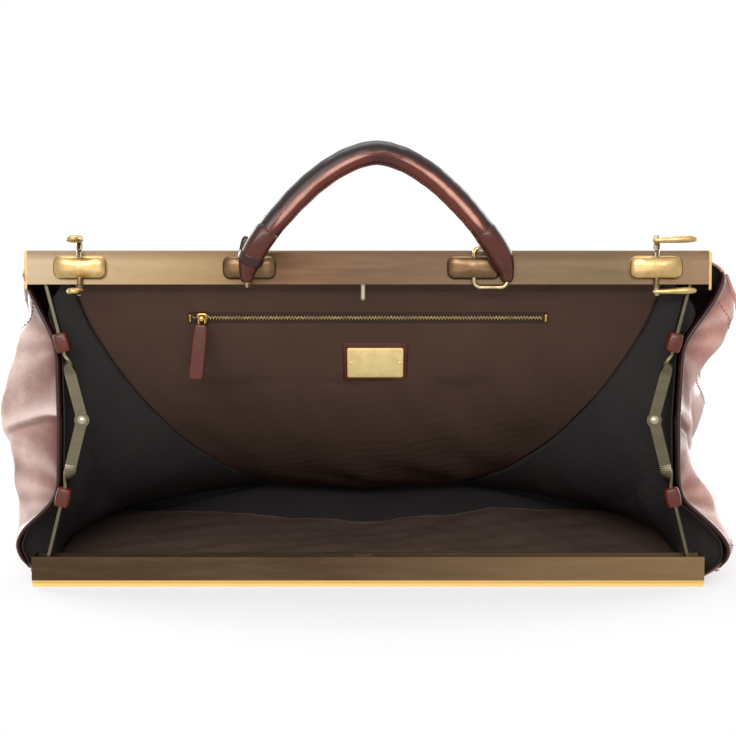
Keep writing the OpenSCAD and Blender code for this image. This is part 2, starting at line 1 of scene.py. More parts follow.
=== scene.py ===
# Leather travel bag lying open on its front wall: looks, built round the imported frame.
import json
import math
import bpy
import numpy as np
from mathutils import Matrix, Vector

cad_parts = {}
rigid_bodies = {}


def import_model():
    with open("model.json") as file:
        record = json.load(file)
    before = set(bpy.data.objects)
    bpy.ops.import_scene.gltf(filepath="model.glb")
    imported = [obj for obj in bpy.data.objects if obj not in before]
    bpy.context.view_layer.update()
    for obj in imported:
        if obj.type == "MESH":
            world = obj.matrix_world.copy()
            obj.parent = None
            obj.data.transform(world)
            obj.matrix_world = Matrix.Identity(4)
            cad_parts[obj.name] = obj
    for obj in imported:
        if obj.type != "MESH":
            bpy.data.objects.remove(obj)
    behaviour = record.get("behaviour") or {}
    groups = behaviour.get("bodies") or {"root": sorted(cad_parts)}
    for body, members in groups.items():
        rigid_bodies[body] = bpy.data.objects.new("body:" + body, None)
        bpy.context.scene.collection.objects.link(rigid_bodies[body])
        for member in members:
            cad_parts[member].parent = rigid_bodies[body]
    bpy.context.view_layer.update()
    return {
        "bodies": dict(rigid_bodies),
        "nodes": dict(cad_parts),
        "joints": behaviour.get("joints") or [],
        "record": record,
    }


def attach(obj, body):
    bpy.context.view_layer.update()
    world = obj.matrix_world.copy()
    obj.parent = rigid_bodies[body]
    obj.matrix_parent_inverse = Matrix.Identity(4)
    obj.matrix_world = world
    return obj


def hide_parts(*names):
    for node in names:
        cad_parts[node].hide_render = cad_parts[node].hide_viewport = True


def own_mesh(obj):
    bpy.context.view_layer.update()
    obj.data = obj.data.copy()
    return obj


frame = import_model()
mm = 0.001
print("frame loaded:", len(frame["nodes"]), "nodes")

# Camera at the photograph's viewing angle: almost level with the upper bar, tipped down a little

cameraSet = {"distance": 1.30, "mouthY": -0.0095, "height": 0.266, "tip": 4.0, "lens": 80.8}

def makeCamera(c):
    data = bpy.data.cameras.new("camera")
    data.lens = c["lens"]
    data.sensor_width = 36
    data.clip_end = 30
    eye = bpy.data.objects.new("camera", data)
    eye.location = (0, c["mouthY"] - c["distance"], c["height"])
    eye.rotation_euler = (math.radians(90 - c["tip"]), 0, 0)
    bpy.context.collection.objects.link(eye)
    bpy.context.scene.camera = eye

makeCamera(cameraSet)

# Shader expressions: one socket, with the usual operators adding Math nodes

class Value:
    def __init__(self, owner, socket):
        self.owner = owner
        self.socket = socket

    def math(self, operation, *others):
        return self.owner.node("ShaderNodeMath", {"operation": operation},
                               dict(enumerate((self,) + others)))

    def __add__(self, other): return self.math("ADD", other)
    def __radd__(self, other): return self.math("ADD", other)
    def __sub__(self, other): return self.math("SUBTRACT", other)
    def __rsub__(self, other): return self.math("MULTIPLY", -1.0).math("ADD", other)
    def __mul__(self, other): return self.math("MULTIPLY", other)
    def __rmul__(self, other): return self.math("MULTIPLY", other)
    def __truediv__(self, other): return self.math("DIVIDE", other)
    def __pow__(self, other): return self.math("POWER", other)
    def abs(self): return self.math("ABSOLUTE")
    def clamp(self): return self.math("MINIMUM", 1.0).math("MAXIMUM", 0.0)
    def between(self, low, high): return ((self - low) / (high - low)).clamp()

# One material or world: node() adds any node, the other methods are short names for common ones
class Finish:
    def __init__(self, name, world=False):
        self.owner = bpy.data.worlds.new(name) if world else bpy.data.materials.new(name)
        self.owner.use_nodes = True
        self.tree = self.owner.node_tree
        self.tree.nodes.clear()
        self.output = self.tree.nodes.new("ShaderNodeOutputWorld" if world else "ShaderNodeOutputMaterial")

    def node(self, kind, settings=None, sockets=None, out=0):
        made = self.tree.nodes.new(kind)
        for key, value in (settings or {}).items():
            if key == "stops":
                self.fillRamp(made.color_ramp, value)
            else:
                setattr(made, key, value)
        for key, value in (sockets or {}).items():
            if isinstance(value, Value):
                self.tree.links.new(value.socket, made.inputs[key])
            else:
                made.inputs[key].default_value = value
        return Value(self, made.outputs[out])

    def fillRamp(self, ramp, stops):
        while len(ramp.elements) < len(stops):
            ramp.elements.new(0.5)
        for element, (place, colour) in zip(ramp.elements, stops):
            element.position = place
            element.color = tone(colour)

    def place(self, scale=(1, 1, 1)):
        where = self.node("ShaderNodeTexCoord", out=3)
        return self.node("ShaderNodeMapping", {}, {"Vector": where, "Scale": scale})

    def axis(self, which):
        where = self.node("ShaderNodeTexCoord", out=3)
        return self.node("ShaderNodeSeparateXYZ", {}, {"Vector": where}, out="XYZ".index(which))

    def ray(self, kind):
        return self.node("ShaderNodeLightPath", out=kind)

    def attribute(self, name):
        return self.node("ShaderNodeAttribute", {"attribute_name": name}, out=2)

    def noise(self, scale, detail=3.0, rough=0.5, vector=None):
        return self.node("ShaderNodeTexNoise", {}, {"Vector": vector or self.place(), "Scale": scale,
                         "Detail": detail, "Roughness": rough})

    def cells(self, scale, vector=None):
        return self.node("ShaderNodeTexVoronoi", {}, {"Vector": vector or self.place(), "Scale": scale})

    def blend(self, factor, first, second):
        return self.node("ShaderNodeMix", {"data_type": "RGBA"},
                         {0: factor, 6: socketTone(first), 7: socketTone(second)}, out=2)

    def bump(self, height, depth, strength):
        return self.node("ShaderNodeBump", {}, {"Height": height, "Distance": depth, "Strength": strength})

    def show(self, surface):
        self.tree.links.new(surface.socket, self.output.inputs["Surface"])
        return self.owner

    def finish(self, **sockets):
        return self.show(self.node("ShaderNodeBsdfPrincipled", {}, sockets))

def tone(colour):
    # a colour written as #rrggbb or as three numbers, as linear RGBA
    if not isinstance(colour, str):
        return (*colour, 1.0) if len(colour) == 3 else tuple(colour)
    parts = [int(colour[i:i + 2], 16) / 255 for i in (1, 3, 5)]
    return (*[p / 12.92 if p <= 0.04045 else ((p + 0.055) / 1.055) ** 2.4 for p in parts], 1.0)

def socketTone(colour):
    return colour if isinstance(colour, Value) else tone(colour)

# Finishes

# the gussets' two pale tones and the ridge tone are painted highlights; the worn tone is painted shade in the
# folds
leatherSet = {"light": "#85422f", "mid": "#5c2818", "dark": "#2d120c", "paintedHighlight": "#e6c8bd", "ruddy": "#dda393",
              "ridge": "#f0dcd4", "worn": "#461c12", "inside": "#1d1413", "rough": 0.27,
              "side": (0.248, 0.28), "mouth": (0.06, 0.19)}

def bagLeather(s):
    m = Finish("bagLeather")
    cloud = m.noise(9.0, 5.0, 0.6).between(0.32, 0.68)
    streak = m.noise(26.0, 6.0, 0.62).between(0.36, 0.72)
    wander = m.node("ShaderNodeTexNoise", {}, {"Vector": m.place(), "Scale": 60.0}, out=1)
    grain = m.cells(520.0, m.node("ShaderNodeVectorMath", {"operation": "ADD"}, {0: m.place(), 1: wander}))
    pores = m.noise(900.0, 2.0)
    creases = (m.noise(17.0, 4.0, 0.6) - 0.5).abs().between(0.0, 0.02)
    base = m.blend(cloud, s["mid"], s["light"])
    base = m.blend(streak * 0.45, base, s["dark"])
    # painted highlight: the gussets are painted pale near the mouth, the left one more than the right one
    paintedHighlight = m.axis("X").abs().between(*s["side"]) * (m.noise(15.0, 5.0, 0.62).between(0.36, 0.62) * 0.5 + 0.34)
    paintedHighlight = paintedHighlight * (1 - m.axis("Y").between(*s["mouth"]) * 0.85)
    pale = m.blend(m.axis("X").between(-0.05, 0.05), s["paintedHighlight"], s["ruddy"])
    base = m.blend(paintedHighlight, base, pale)
    # the attribute for painted highlight and shade is above 0 on ridges, which get a painted highlight, and below
    # 0 in the folds, which get painted shade
    wear = m.attribute("wear")
    base = m.blend(wear.clamp() * 0.8, base, s["ridge"])
    base = m.blend((-1 * wear).clamp() * 0.85, base, s["worn"])
    base = m.blend((1 - creases) * 0.1, base, s["dark"])
    base = m.blend(m.attribute("shade"), base, s["inside"])
    height = grain * 0.6 + pores * 0.25 + creases * 0.4
    return m.finish(**{"Base Color": base, "Roughness": s["rough"] + streak * 0.16 + (1 - creases) * 0.08,
                       "Normal": m.bump(height, 0.3 * mm, 0.5), "Specular IOR Level": 0.38,
                       "Coat Weight": 0.3, "Coat Roughness": 0.16})

# the palest tone is a painted highlight along the roll's front
handleSet = {"top": "#1d0d0a", "side": "#38130b", "warm": "#5c2314", "paintedHighlight": "#cb9684"}

def rolledLeather(s):
    # burnished leather: the attribute shade runs from 0 at the painted highlight to 1 where it is dark
    m = Finish("rolledLeather")
    shade = m.attribute("shade")
    cloud = m.noise(34.0, 5.0, 0.6).between(0.3, 0.7)
    fine = m.noise(260.0, 4.0, 0.6)
    stops = [(0.0, s["paintedHighlight"]), (0.2, s["warm"]), (0.5, s["side"]), (0.85, s["top"])]
    base = m.node("ShaderNodeValToRGB", {"stops": stops}, {"Fac": (shade + (cloud - 0.5) * 0.14).clamp()})
    grain = m.cells(640.0)
    return m.finish(**{"Base Color": base, "Roughness": 0.3 + fine * 0.16,
                       "Normal": m.bump(grain * 0.7 + fine * 0.5, 0.16 * mm, 0.5), "Specular IOR Level": 0.28,
                       "Coat Weight": 0.2, "Coat Roughness": 0.12})

# lit and deep tone of each cloth; the gusset cloth's tones are dark as painted shade, the floor cloth's are light
# as painted light
clothTones = {"liningCloth": ("#533f35", "#41312a"), "gussetCloth": ("#383433", "#2b2929"),
              "paintedLightFloorCloth": ("#6f5a50", "#594840"), "zipTape": ("#46362f", "#352822")}

def liningCloth(name):
    m = Finish(name)
    lit, deep = clothTones[name]
    twill = m.node("ShaderNodeTexWave", {"wave_type": "BANDS", "bands_direction": "DIAGONAL"},
                   {"Vector": m.place(), "Scale": 250.0, "Distortion": 0.4})
    nap = m.noise(420.0, 4.0, 0.7)
    cloud = m.noise(7.0, 4.0, 0.6).between(0.3, 0.7)
    base = m.blend(cloud * 0.6 + nap * 0.3, deep, lit)
    return m.finish(**{"Base Color": base, "Roughness": 0.82 + nap * 0.12,
                       "Normal": m.bump(twill * 0.25 + nap * 0.8, 0.05 * mm, 0.4),
                       "Specular IOR Level": 0.06})

# painted light and reflection, as tones from left to right along each bar and along the arms' steel
paintedLightStops = {
    "backBarBrass": [(0.0, "#a08f76"), (0.17, "#8f795b"), (0.29, "#7c674a"), (0.38, "#573f2e"), (0.5, "#5a4536"),
                     (0.65, "#614e3e"), (0.85, "#62533f"), (0.98, "#816650")],
    "frontBarBronze": [(0.0, "#4a392b"), (0.45, "#513f30"), (0.8, "#7b6347"), (1.0, "#84694b")],
    "armSteel": [(0.0, "#6b6552"), (1.0, "#5d5846")],
}
brassSet = {"bright": "#d8bd93", "brown": "#4c3a2a", "glint": "#f6cf84", "length": 0.55,
            "rim": (0.259, 0.265), "chamfer": (0.0052, 0.0057)}

def brushedBar(s, name, rough=0.3, glint=False, rim=False):
    # brushed metal with painted light and reflection drifting from left to right along the bar, with fine lines
    # along X
    m = Finish(name)
    lines = m.noise(1.0, 4.0, 0.7, m.place((6, 2600, 2600)))
    broad = m.noise(1.0, 3.0, 0.6, m.place((14, 160, 160)))
    spots = m.noise(70.0, 5.0, 0.7).between(0.58, 0.78)
    along = (m.axis("X") / s["length"] + 0.5).clamp()
    base = m.node("ShaderNodeValToRGB", {"stops": paintedLightStops[name]}, {"Fac": along})
    base = m.blend((lines - 0.35) * 0.5, base, s["brown"])
    base = m.blend(broad.between(0.4, 0.9) * 0.08, base, s["bright"])
    base = m.blend(spots * 0.2, base, s["brown"])
    if rim:                                       # painted shade that darkens the upper edge
        base = m.blend(m.axis("Z").between(*s["rim"]) * 0.45, base, s["brown"])
    if glint:                                     # painted reflection: a bright band along the lower edge's chamfer
        base = m.blend(1 - m.axis("Z").between(*s["chamfer"]), base, s["glint"])
    return m.finish(**{"Base Color": base, "Metallic": 1.0, "Roughness": rough + lines * 0.18 + spots * 0.1,
                       "Normal": m.bump(lines, 0.03 * mm, 0.5)})

def castMetal(name, light, dark, rough, metallic=1.0):
    # polished fitting with rubbed highlights and darker, duller patches
    m = Finish(name)
    worn = m.noise(120.0, 5.0, 0.6).between(0.4, 0.7)
    fine = m.noise(900.0, 3.0, 0.6)
    base = m.blend(worn * 0.6, light, dark)
    return m.finish(**{"Base Color": base, "Metallic": metallic, "Roughness": rough + worn * 0.14 + fine * 0.06,
                       "Normal": m.bump(fine + worn * 0.5, 0.03 * mm, 0.4)})

def threadFinish():
    m = Finish("thread")
    twist = m.node("ShaderNodeTexWave", {"wave_type": "BANDS", "bands_direction": "DIAGONAL"},
                   {"Vector": m.place(), "Scale": 700.0})
    return m.finish(**{"Base Color": m.blend(twist * 0.5, "#7d4632", "#4a241a"), "Roughness": 0.6,
                       "Normal": m.bump(twist, 0.08 * mm, 0.6)})

finishes = {
    "leather": bagLeather(leatherSet),
    "handle": rolledLeather(handleSet),
    "lining": liningCloth("liningCloth"),
    "gusset": liningCloth("gussetCloth"),
    "paintedLightFloorLining": liningCloth("paintedLightFloorCloth"),
    "tape": liningCloth("zipTape"),
    "backBar": brushedBar(brassSet, "backBarBrass", rim=True),
    "frontBar": brushedBar(brassSet, "frontBarBronze", glint=True),
    "gold": castMetal("polishedBrass", "#c9a25a", "#7d5c30", 0.2),
    "plate": castMetal("plateBrass", "#fbe3a0", "#e6c47a", 0.3, 0.4),
    "ring": castMetal("ringBrass", "#b7a078", "#71603f", 0.2),
    "pad": castMetal("padBrass", "#c4a671", "#8f7449", 0.26),
    "darkPad": castMetal("darkPadBrass", "#745b41", "#4c3a28", 0.28),
    "steel": brushedBar(brassSet, "armSteel", 0.22),
    "rivet": castMetal("rivetNickel", "#b5ab90", "#6d6552", 0.22),
    "thread": threadFinish(),
}
print("finishes made:", len(finishes))

# Mesh makers. Lengths are in mm, with Y counted from the bars' front face as in the solids

barHalf = 9.5                                     # the solids' Y is this much ahead of the frame's

def unit(vectors):
    # each vector divided by its length
    return vectors / np.maximum(np.linalg.norm(vectors, axis=-1, keepdims=True), 1e-9)

def ringQuads(rows, cols):
    # corner numbers of the faces between neighbouring rings
    i, j = np.meshgrid(np.arange(rows - 1), np.arange(cols), indexing="ij")
    k = (j + 1) % cols
    return np.stack([i * cols + j, i * cols + k, (i + 1) * cols + k, (i + 1) * cols + j], -1).reshape(-1, 4)

def ringSkin(rings):
    # rings of points, each joined to the next, closed at both ends by a fan round its middle
    rows, cols = rings.shape[:2]
    j = np.arange(cols)
    k = (j + 1) % cols
    first = np.stack([k, j, np.full(cols, rows * cols)], -1)
    last = np.stack([(rows - 1) * cols + j, (rows - 1) * cols + k, np.full(cols, rows * cols + 1)], -1)
    points = np.vstack([rings.reshape(-1, 3), rings[0].mean(0), rings[-1].mean(0)])
    return outward(points, [ringQuads(rows, cols), first, last])

def sheetSkin(grid, thickness):
    # a curved sheet: the grid and its copy pushed back along the normals, joined round the edge
    under = grid - thickness * gridNormals(grid)
    rows, cols = grid.shape[:2]
    rings = np.concatenate([grid, under[:, ::-1]], axis=1)
    j = np.arange(cols - 1)
    edge = np.stack([j, 2 * cols - 1 - j, 2 * cols - 2 - j, j + 1], -1)
    return outward(rings.reshape(-1, 3), [ringQuads(rows, 2 * cols), edge[:, ::-1], edge + (rows - 1) * 2 * cols])

def gridNormals(grid, ringed=False):
    # cross product of the two directions of the grid, made one long
    across = np.roll(grid, -1, axis=1) - np.roll(grid, 1, axis=1) if ringed else np.gradient(grid, axis=1)
    return unit(np.cross(np.gradient(grid, axis=0), across))

def outward(points, faces):
    # turns every face round when the shell's signed volume comes out negative
    total = 0.0
    for group in faces:
        corner = points[group]
        for n in range(1, group.shape[1] - 1):
            total += np.einsum("ij,ij->", corner[:, 0], np.cross(corner[:, n], corner[:, n + 1]))
    return points, [group[:, ::-1] for group in faces] if total < 0 else faces

def joined(shells):
    # several shells as one, each face's numbers moved on past the points before it
    points, faces, start = [], [], 0
    for shell in shells:
        points.append(shell[0])
        faces += [group + start for group in shell[1]]
        start += len(shell[0])
    return np.vstack(points), faces

def sweep(path, section, across=(0, 1, 0), scale=None):
    # a closed section carried along a path: its first axis is square to the path and to across
    path = np.asarray(path, float)
    along = unit(np.gradient(path, axis=0))
    side = unit(np.cross(np.broadcast_to(np.asarray(across, float), path.shape), along))
    other = np.cross(along, side)
    size = np.ones((len(path), 1, 1)) if scale is None else np.asarray(scale, float).reshape(len(path), 1, -1)
    shape = np.asarray(section)[None] * size
    return path[:, None] + shape[..., :1] * side[:, None] + shape[..., 1:] * other[:, None]

def circle(sides, radius=1.0):
    # points at even angles round a circle
    a = np.arange(sides) * 2 * np.pi / sides
    return radius * np.stack([np.cos(a), np.sin(a)], -1)

def squarish(sides, power):
    # a circle pushed out towards a square, as a superellipse
    a = circle(sides)
    return np.sign(a) * np.abs(a) ** power

def spokes(rings):
    # directions from each ring's middle to its points
    return unit(rings - rings.mean(1, keepdims=True))

def roundRect(width, height, corner, steps=5):
    # a rectangle's outline with a quarter circle at each corner
    a = np.linspace(0, np.pi / 2, steps)
    arc = corner * np.stack([np.cos(a), np.sin(a)], -1)
    x, y = width / 2 - corner, height / 2 - corner
    turned = [arc, arc @ np.array([[0, 1], [-1, 0]]), -arc, arc @ np.array([[0, -1], [1, 0]])]
    middles = np.array([[x, y], [-x, y], [-x, -y], [x, -y]])
    return np.vstack([part + middle for part, middle in zip(turned, middles)])

def slab(outline, thickness, edge, crown=0.0, origin=(0, 0, 0), across=(1, 0, 0), up=(0, 0, 1), steps=4,
         power=2.0):
    # an outline raised along its normal, with rounded rims and a front face crowned as a superellipse
    outline = np.asarray(outline, float)
    along = np.roll(outline, -1, axis=0) - np.roll(outline, 1, axis=0)
    out = unit(np.stack([along[:, 1], -along[:, 0]], -1))
    a = np.linspace(0, np.pi / 2, steps)
    inset = np.concatenate([edge * (1 - np.sin(a)), edge * (1 - np.cos(a))])
    level = np.concatenate([edge * (1 - np.cos(a)), thickness - edge * (1 - np.sin(a))])
    flat = outline[None] - inset[:, None, None] * out[None]
    level = np.repeat(level[:, None], len(outline), 1)
    shrink = np.cos(np.linspace(0, np.pi / 2, 18)[1:-1])
    rise = thickness + crown * (1 - shrink ** power) ** (1 / power)
    flat = np.concatenate([flat, flat[-1][None] * shrink[:, None, None]])
    level = np.concatenate([level, np.repeat(rise[:, None], len(outline), 1)])
    across, up = np.asarray(across, float), np.asarray(up, float)
    return ringSkin(np.asarray(origin, float) + flat[..., :1] * across + flat[..., 1:] * up
                    + level[..., None] * np.cross(across, up))

def lathe(profile, origin, axis=(0, 1, 0), sides=24):
    # pairs of radius and height turned about an axis
    profile = np.asarray(profile, float)
    axis = unit(np.asarray(axis, float))
    side = unit(np.cross(axis, [0.3, 0.5, 0.8]))
    other = np.cross(axis, side)
    turn = circle(sides)
    ring = turn[:, :1] * side + turn[:, 1:] * other
    return ringSkin(np.asarray(origin) + profile[:, :1, None] * ring[None] + profile[:, 1:, None] * axis)

def distances(path):
    # how far along a path each of its points lies
    return np.concatenate([[0], np.cumsum(np.linalg.norm(np.diff(path, axis=0), axis=1))])

def readAt(values, reach, at):
    # each column of values at given distances along a path
    return np.stack([np.interp(at, reach, values[:, k]) for k in range(values.shape[1])], -1)

def stitches(path, outward, pitch=4.2, length=3.0, thick=0.75, rise=0.15):
    # short thread bars laid end to end along a path, each a pinched six sided bead
    path, outward = np.asarray(path, float), np.asarray(outward, float)
    reach = distances(path)
    count = max(2, int(reach[-1] / pitch))
    at = (np.arange(count) + 0.5) * reach[-1] / count
    middle = readAt(path, reach, at)
    along = unit(readAt(path, reach, at + 0.5) - readAt(path, reach, at - 0.5))
    normal = readAt(np.broadcast_to(outward, path.shape), reach, at)
    normal = unit(normal - np.einsum("ij,ij->i", normal, along)[:, None] * along)
    side = np.cross(along, normal)
    place = np.array([-1.0, -0.72, 0.0, 0.72, 1.0]) * length / 2
    girth = np.array([0.3, 0.85, 1.0, 0.85, 0.3]) * thick / 2
    turn = circle(6)
    rings = (middle[:, None, None] + place[None, :, None, None] * along[:, None, None]
             + girth[None, :, None, None] * (turn[None, None, :, :1] * side[:, None, None]
                                             + turn[None, None, :, 1:] * normal[:, None, None])
             + rise * normal[:, None, None])
    return joined([ringSkin(bead) for bead in rings])

def smooth01(x, low, high):
    # 0 up to low, 1 from high on, and t * t * (3 - 2t) between
    t = np.clip((x - low) / (high - low), 0, 1)
    return t * t * (3 - 2 * t)

def ripple(points, waves):
    # a sum of sines along given directions: each wave is (height, length, direction, offset)
    total = np.zeros(points.shape[:-1])
    for height, length, direction, offset in waves:
        total += height * np.sin(points @ unit(np.array(direction, float)) * 2 * np.pi / length + offset)
    return total

# Heights, in metres, towards which soft pieces would flatten as the frame shuts; this script only gives each soft
# piece its own mesh.
# The pocket's pieces ride down with the pocket, so their height is further up
closing = {"joint": "hem_slide", "keep": 0.1744}
pocketStop = 0.140 / (1 - closing["keep"])
anchors = {"bag": 0, "pocket": pocketStop, "slider": pocketStop, "pull": pocketStop}

def addPiece(name, shell, finish, body, replaced=(), shade=None, wear=None, soft=True):
    # puts a shell into a mesh, with its finish, its body and the solids it replaces, and gives a soft piece its
    # own mesh
    points, faces = shell
    points = (points - np.array([0, barHalf, 0])) * mm
    mesh = bpy.data.meshes.new(name)
    mesh.from_pydata(points.tolist(), [], [face for group in faces for face in group.tolist()])
    mesh.materials.append(finishes[finish])
    for label, values in (("shade", shade), ("wear", wear)):
        if values is not None:
            values = np.full(len(points), values, np.float32)
            mesh.attributes.new(label, "FLOAT", "POINT").data.foreach_set("value", values)
    mesh.polygons.foreach_set("use_smooth", np.full(len(mesh.polygons), True))
    mesh.update()
    piece = bpy.data.objects.new(name, mesh)
    bpy.context.collection.objects.link(piece)
    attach(piece, body)
    if replaced:
        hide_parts(*replaced)
    if soft and body in anchors:
        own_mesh(piece)

# Leather body: closed loops across X and Z, carried along Y from the mouth to the base.
# A loop runs along the floor, up the left gusset, over the back wall and down the right gusset

bodySet = {
    "corner": 25.9, "sideStart": 16.5, "base": 284.6, "top": 262.0, "baseHeight": 100.0, "fall": 110.0,
    "depth": 285.0, "baseWide": (287, 7, 3),      # half width at the base, drawn in at its edges and middle
    "leather": 3.0, "sag": 7.0, "rim": 8.0, "rows": 84, "across": 80, "sides": 90,
    "baseMiddle": 48.0, "baseHalf": 236.0, "baseDish": 1.6, "lip": 1.3,
    # fold seam half way up: its share of the height, and how far it dips and swells
    "fold": 0.508, "dip": 2.6, "slack": 2.2, "swell": 2.4,
    # heights of the loops round the arms, and how strong the folds from them and behind them are
    "loops": (70.0, 193.0), "loopFold": 0.85, "fan": 1.2,
    # half width of the mouth's rim by height, drawn in where the loops hold it to the arms
    "leftRim": ([0, 8, 18, 30, 43, 55, 67, 80, 133, 185, 200, 220, 240, 252, 262],
                [265, 270, 279, 284, 279, 265, 253, 249, 248, 249, 252.5, 263, 273, 277, 270]),
    "rightRim": ([0, 6, 14, 24, 33, 45, 58, 67, 80, 133, 190, 200, 211, 228, 245, 253, 262],
                 [266, 276, 288, 292, 290, 280, 265, 254, 250, 249, 252, 257, 265, 277, 284, 284, 270]),
    # half width a little way behind the rim, by height
    "leftNear": ([0, 13, 20, 29, 40, 47, 63, 94, 126, 142, 161, 193, 207, 220, 240, 255, 262],
                 [268, 279, 289, 292, 288, 286, 287, 292, 297, 301, 296, 286, 278, 275, 277, 278, 271]),
    "rightNear": ([0, 6, 14, 24, 31, 43, 71, 94, 118, 157, 169, 189, 212, 228, 240, 252, 258, 262],
                  [270, 284, 296, 301, 300, 292, 281, 267, 264, 264, 271, 284, 297, 299, 298, 294, 286, 273]),
    # half width in the middle of the depth, by share of the height
    "leftMid": ([0, 0.06, 0.11, 0.17, 0.25, 0.36, 0.48, 0.54, 0.62, 0.74, 0.85, 1],
                [270, 284, 288, 286, 287, 292, 296, 297, 295, 289, 281, 270]),
    "rightMid": ([0, 0.05, 0.1, 0.17, 0.27, 0.36, 0.45, 0.6, 0.66, 0.72, 0.81, 0.87, 0.94, 1],
                 [274, 288, 293, 289, 280, 273, 270, 272, 277, 284, 291, 292, 288, 274]),
}

def roofHeight(s, y):
    # falls from the bar to the base as the solids' back wall does
    drop = np.exp(-(np.maximum(y, s["corner"]) - s["corner"]) / s["fall"])
    last = np.exp(-(s["depth"] - s["corner"]) / s["fall"])
    return s["baseHeight"] + (s["top"] - s["baseHeight"]) * (drop - last) / (1 - last)

def gussetWidth(s, side, share, y, height):
    # from the mouth's drawn-in rim, through the bulge close behind it, to the squarer base
    rim = np.interp(share * height, *s[side + "Rim"])
    near = np.interp(share * height, *s[side + "Near"])
    mid = np.interp(share, *s[side + "Mid"])
    wide, edges, middle = s["baseWide"]
    base = wide - edges * (2 * share - 1) ** 2 - middle * np.sin(share * np.pi)
    early, later, late = smooth01(y, 17, 44), smooth01(y, 52, 130), smooth01(y, 130, 262)
    width = rim * (1 - early) + near * early
    width = width * (1 - later) + mid * later
    return width * (1 - late) + base * late

def bodyLoops(s):
    # each row is a loop of floor, left gusset, back wall and right gusset, rounded by averaging
    rows, across, sides = s["rows"], s["across"], s["sides"]
    share = np.linspace(0, 1, rows) ** 1.15
    flat, rise = np.linspace(0, 1, across, endpoint=False), np.linspace(0, 1, sides, endpoint=False)
    middle = np.sin(np.pi * np.concatenate([flat * 0, rise, flat * 0, rise]))
    start = s["corner"] - (s["corner"] - s["sideStart"]) * np.clip(middle * 1.6, 0, 1)
    y = start[None] + (s["base"] - s["rim"] - start[None]) * share[:, None]
    height = roofHeight(s, y)
    floor, left, roof, right = np.split(np.arange(y.shape[1]), np.cumsum([across, sides, across]))
    width = lambda side, share, cols: gussetWidth(s, side, share, y[:, cols], height[:, cols])
    x, z = np.zeros_like(y), np.zeros_like(y)
    ends = -width("left", 0, floor), width("right", 0, floor)
    x[:, floor] = ends[1] + (ends[0] - ends[1]) * flat
    x[:, left] = -width("left", rise, left)
    z[:, left] = height[:, left] * rise
    ends = -width("left", 1, roof), width("right", 1, roof)
    x[:, roof] = ends[0] + (ends[1] - ends[0]) * flat
    hang = s["sag"] * np.sin(np.pi * np.clip((y[:, roof] - 26) / 250, 0, 1)) * (1 - (2 * flat - 1) ** 2)
    z[:, roof] = height[:, roof] - hang
    x[:, right] = width("right", 1 - rise, right)
    z[:, right] = height[:, right] * (1 - rise)
    loops = np.stack([x, y, z], -1)
    for _ in range(3):
        loops = (loops + np.roll(loops, 1, 1) + np.roll(loops, -1, 1)) / 3
    return loops

# height, length, direction and offset of each wave
leatherWaves = [(0.9, 74, (1, 0.35, 0.2), 0.4), (0.8, 52, (0.5, 1, 0.3), 1.9), (0.45, 31, (-0.6, 0.8, 0.7), 0.8),
                (0.2, 19, (0.9, 0.2, -1), 2.6)]

def bodyLumps(s, loops):
    # how far the skin stands out along its normal, and its painted highlight (above 0) or painted shade (below 0)
    x, y, z = np.moveaxis(loops, -1, 0)
    share = z / roofHeight(s, y)
    onSide = smooth01(np.abs(x), 236, 250)
    row = np.linspace(0, 1, len(loops))[:, None]
    early, fromMouth = smooth01(row, 0, 0.035), smooth01(row, 0, 0.12)
    patchy = 0.6 + 0.4 * np.sin(x / 61 + 1.2) * np.cos(y / 47 + z / 83)
    lump = ripple(loops, leatherWaves) * patchy * fromMouth
    # fold seam half way up each gusset: a sharp valley under a swelling, running back from the knees
    above = share - s["fold"]
    valley = s["dip"] * np.exp(-(above / 0.011) ** 2)
    valley += s["slack"] * smooth01(-above, 0, 0.012) * np.exp(-(above / 0.09) ** 2)
    ridge = smooth01(above, 0, 0.012) * np.exp(-(above / 0.045) ** 2)
    lump += (s["swell"] * ridge - valley) * onSide * early
    # painted highlight on the swelling above the seam and painted shade in the seam's valley
    wear = ridge - 0.7 * np.exp(-((above + 0.004) / 0.009) ** 2)
    # folds that spread from the loops, where the arms pull the leather in
    for knot in s["loops"]:
        away = np.hypot(y - s["sideStart"], z - knot)
        turn = np.arctan2(z - knot, y - s["sideStart"] + 6)
        pull = np.sin(turn * 8 + np.sign(x) * 0.9 + away / 40) * np.exp(-((away - 34) / 26) ** 2)
        lump += s["loopFold"] * pull * onSide * early
        # painted highlight on the folds' crests and painted shade in their troughs
        wear += 0.35 * pull
    wear = np.clip(wear, -1, 1) * onSide * (1 - 0.75 * smooth01(y, 70, 150))
    # the leather is dark where it goes from the left upper loop to the bar
    over = smooth01(z, 204, 224) * (1 - smooth01(y, 40, 75)) * (x < 0)
    # long creases that fan out over the gussets behind the knees; the floor stays flat
    fan = np.sin(share * 21 + y * 0.055) * np.exp(-((y - 88) / 60) ** 2)
    lump += s["fan"] * fan * onSide * fromMouth
    return np.where(z < 4, 0, lump), wear * (1 - over) - over

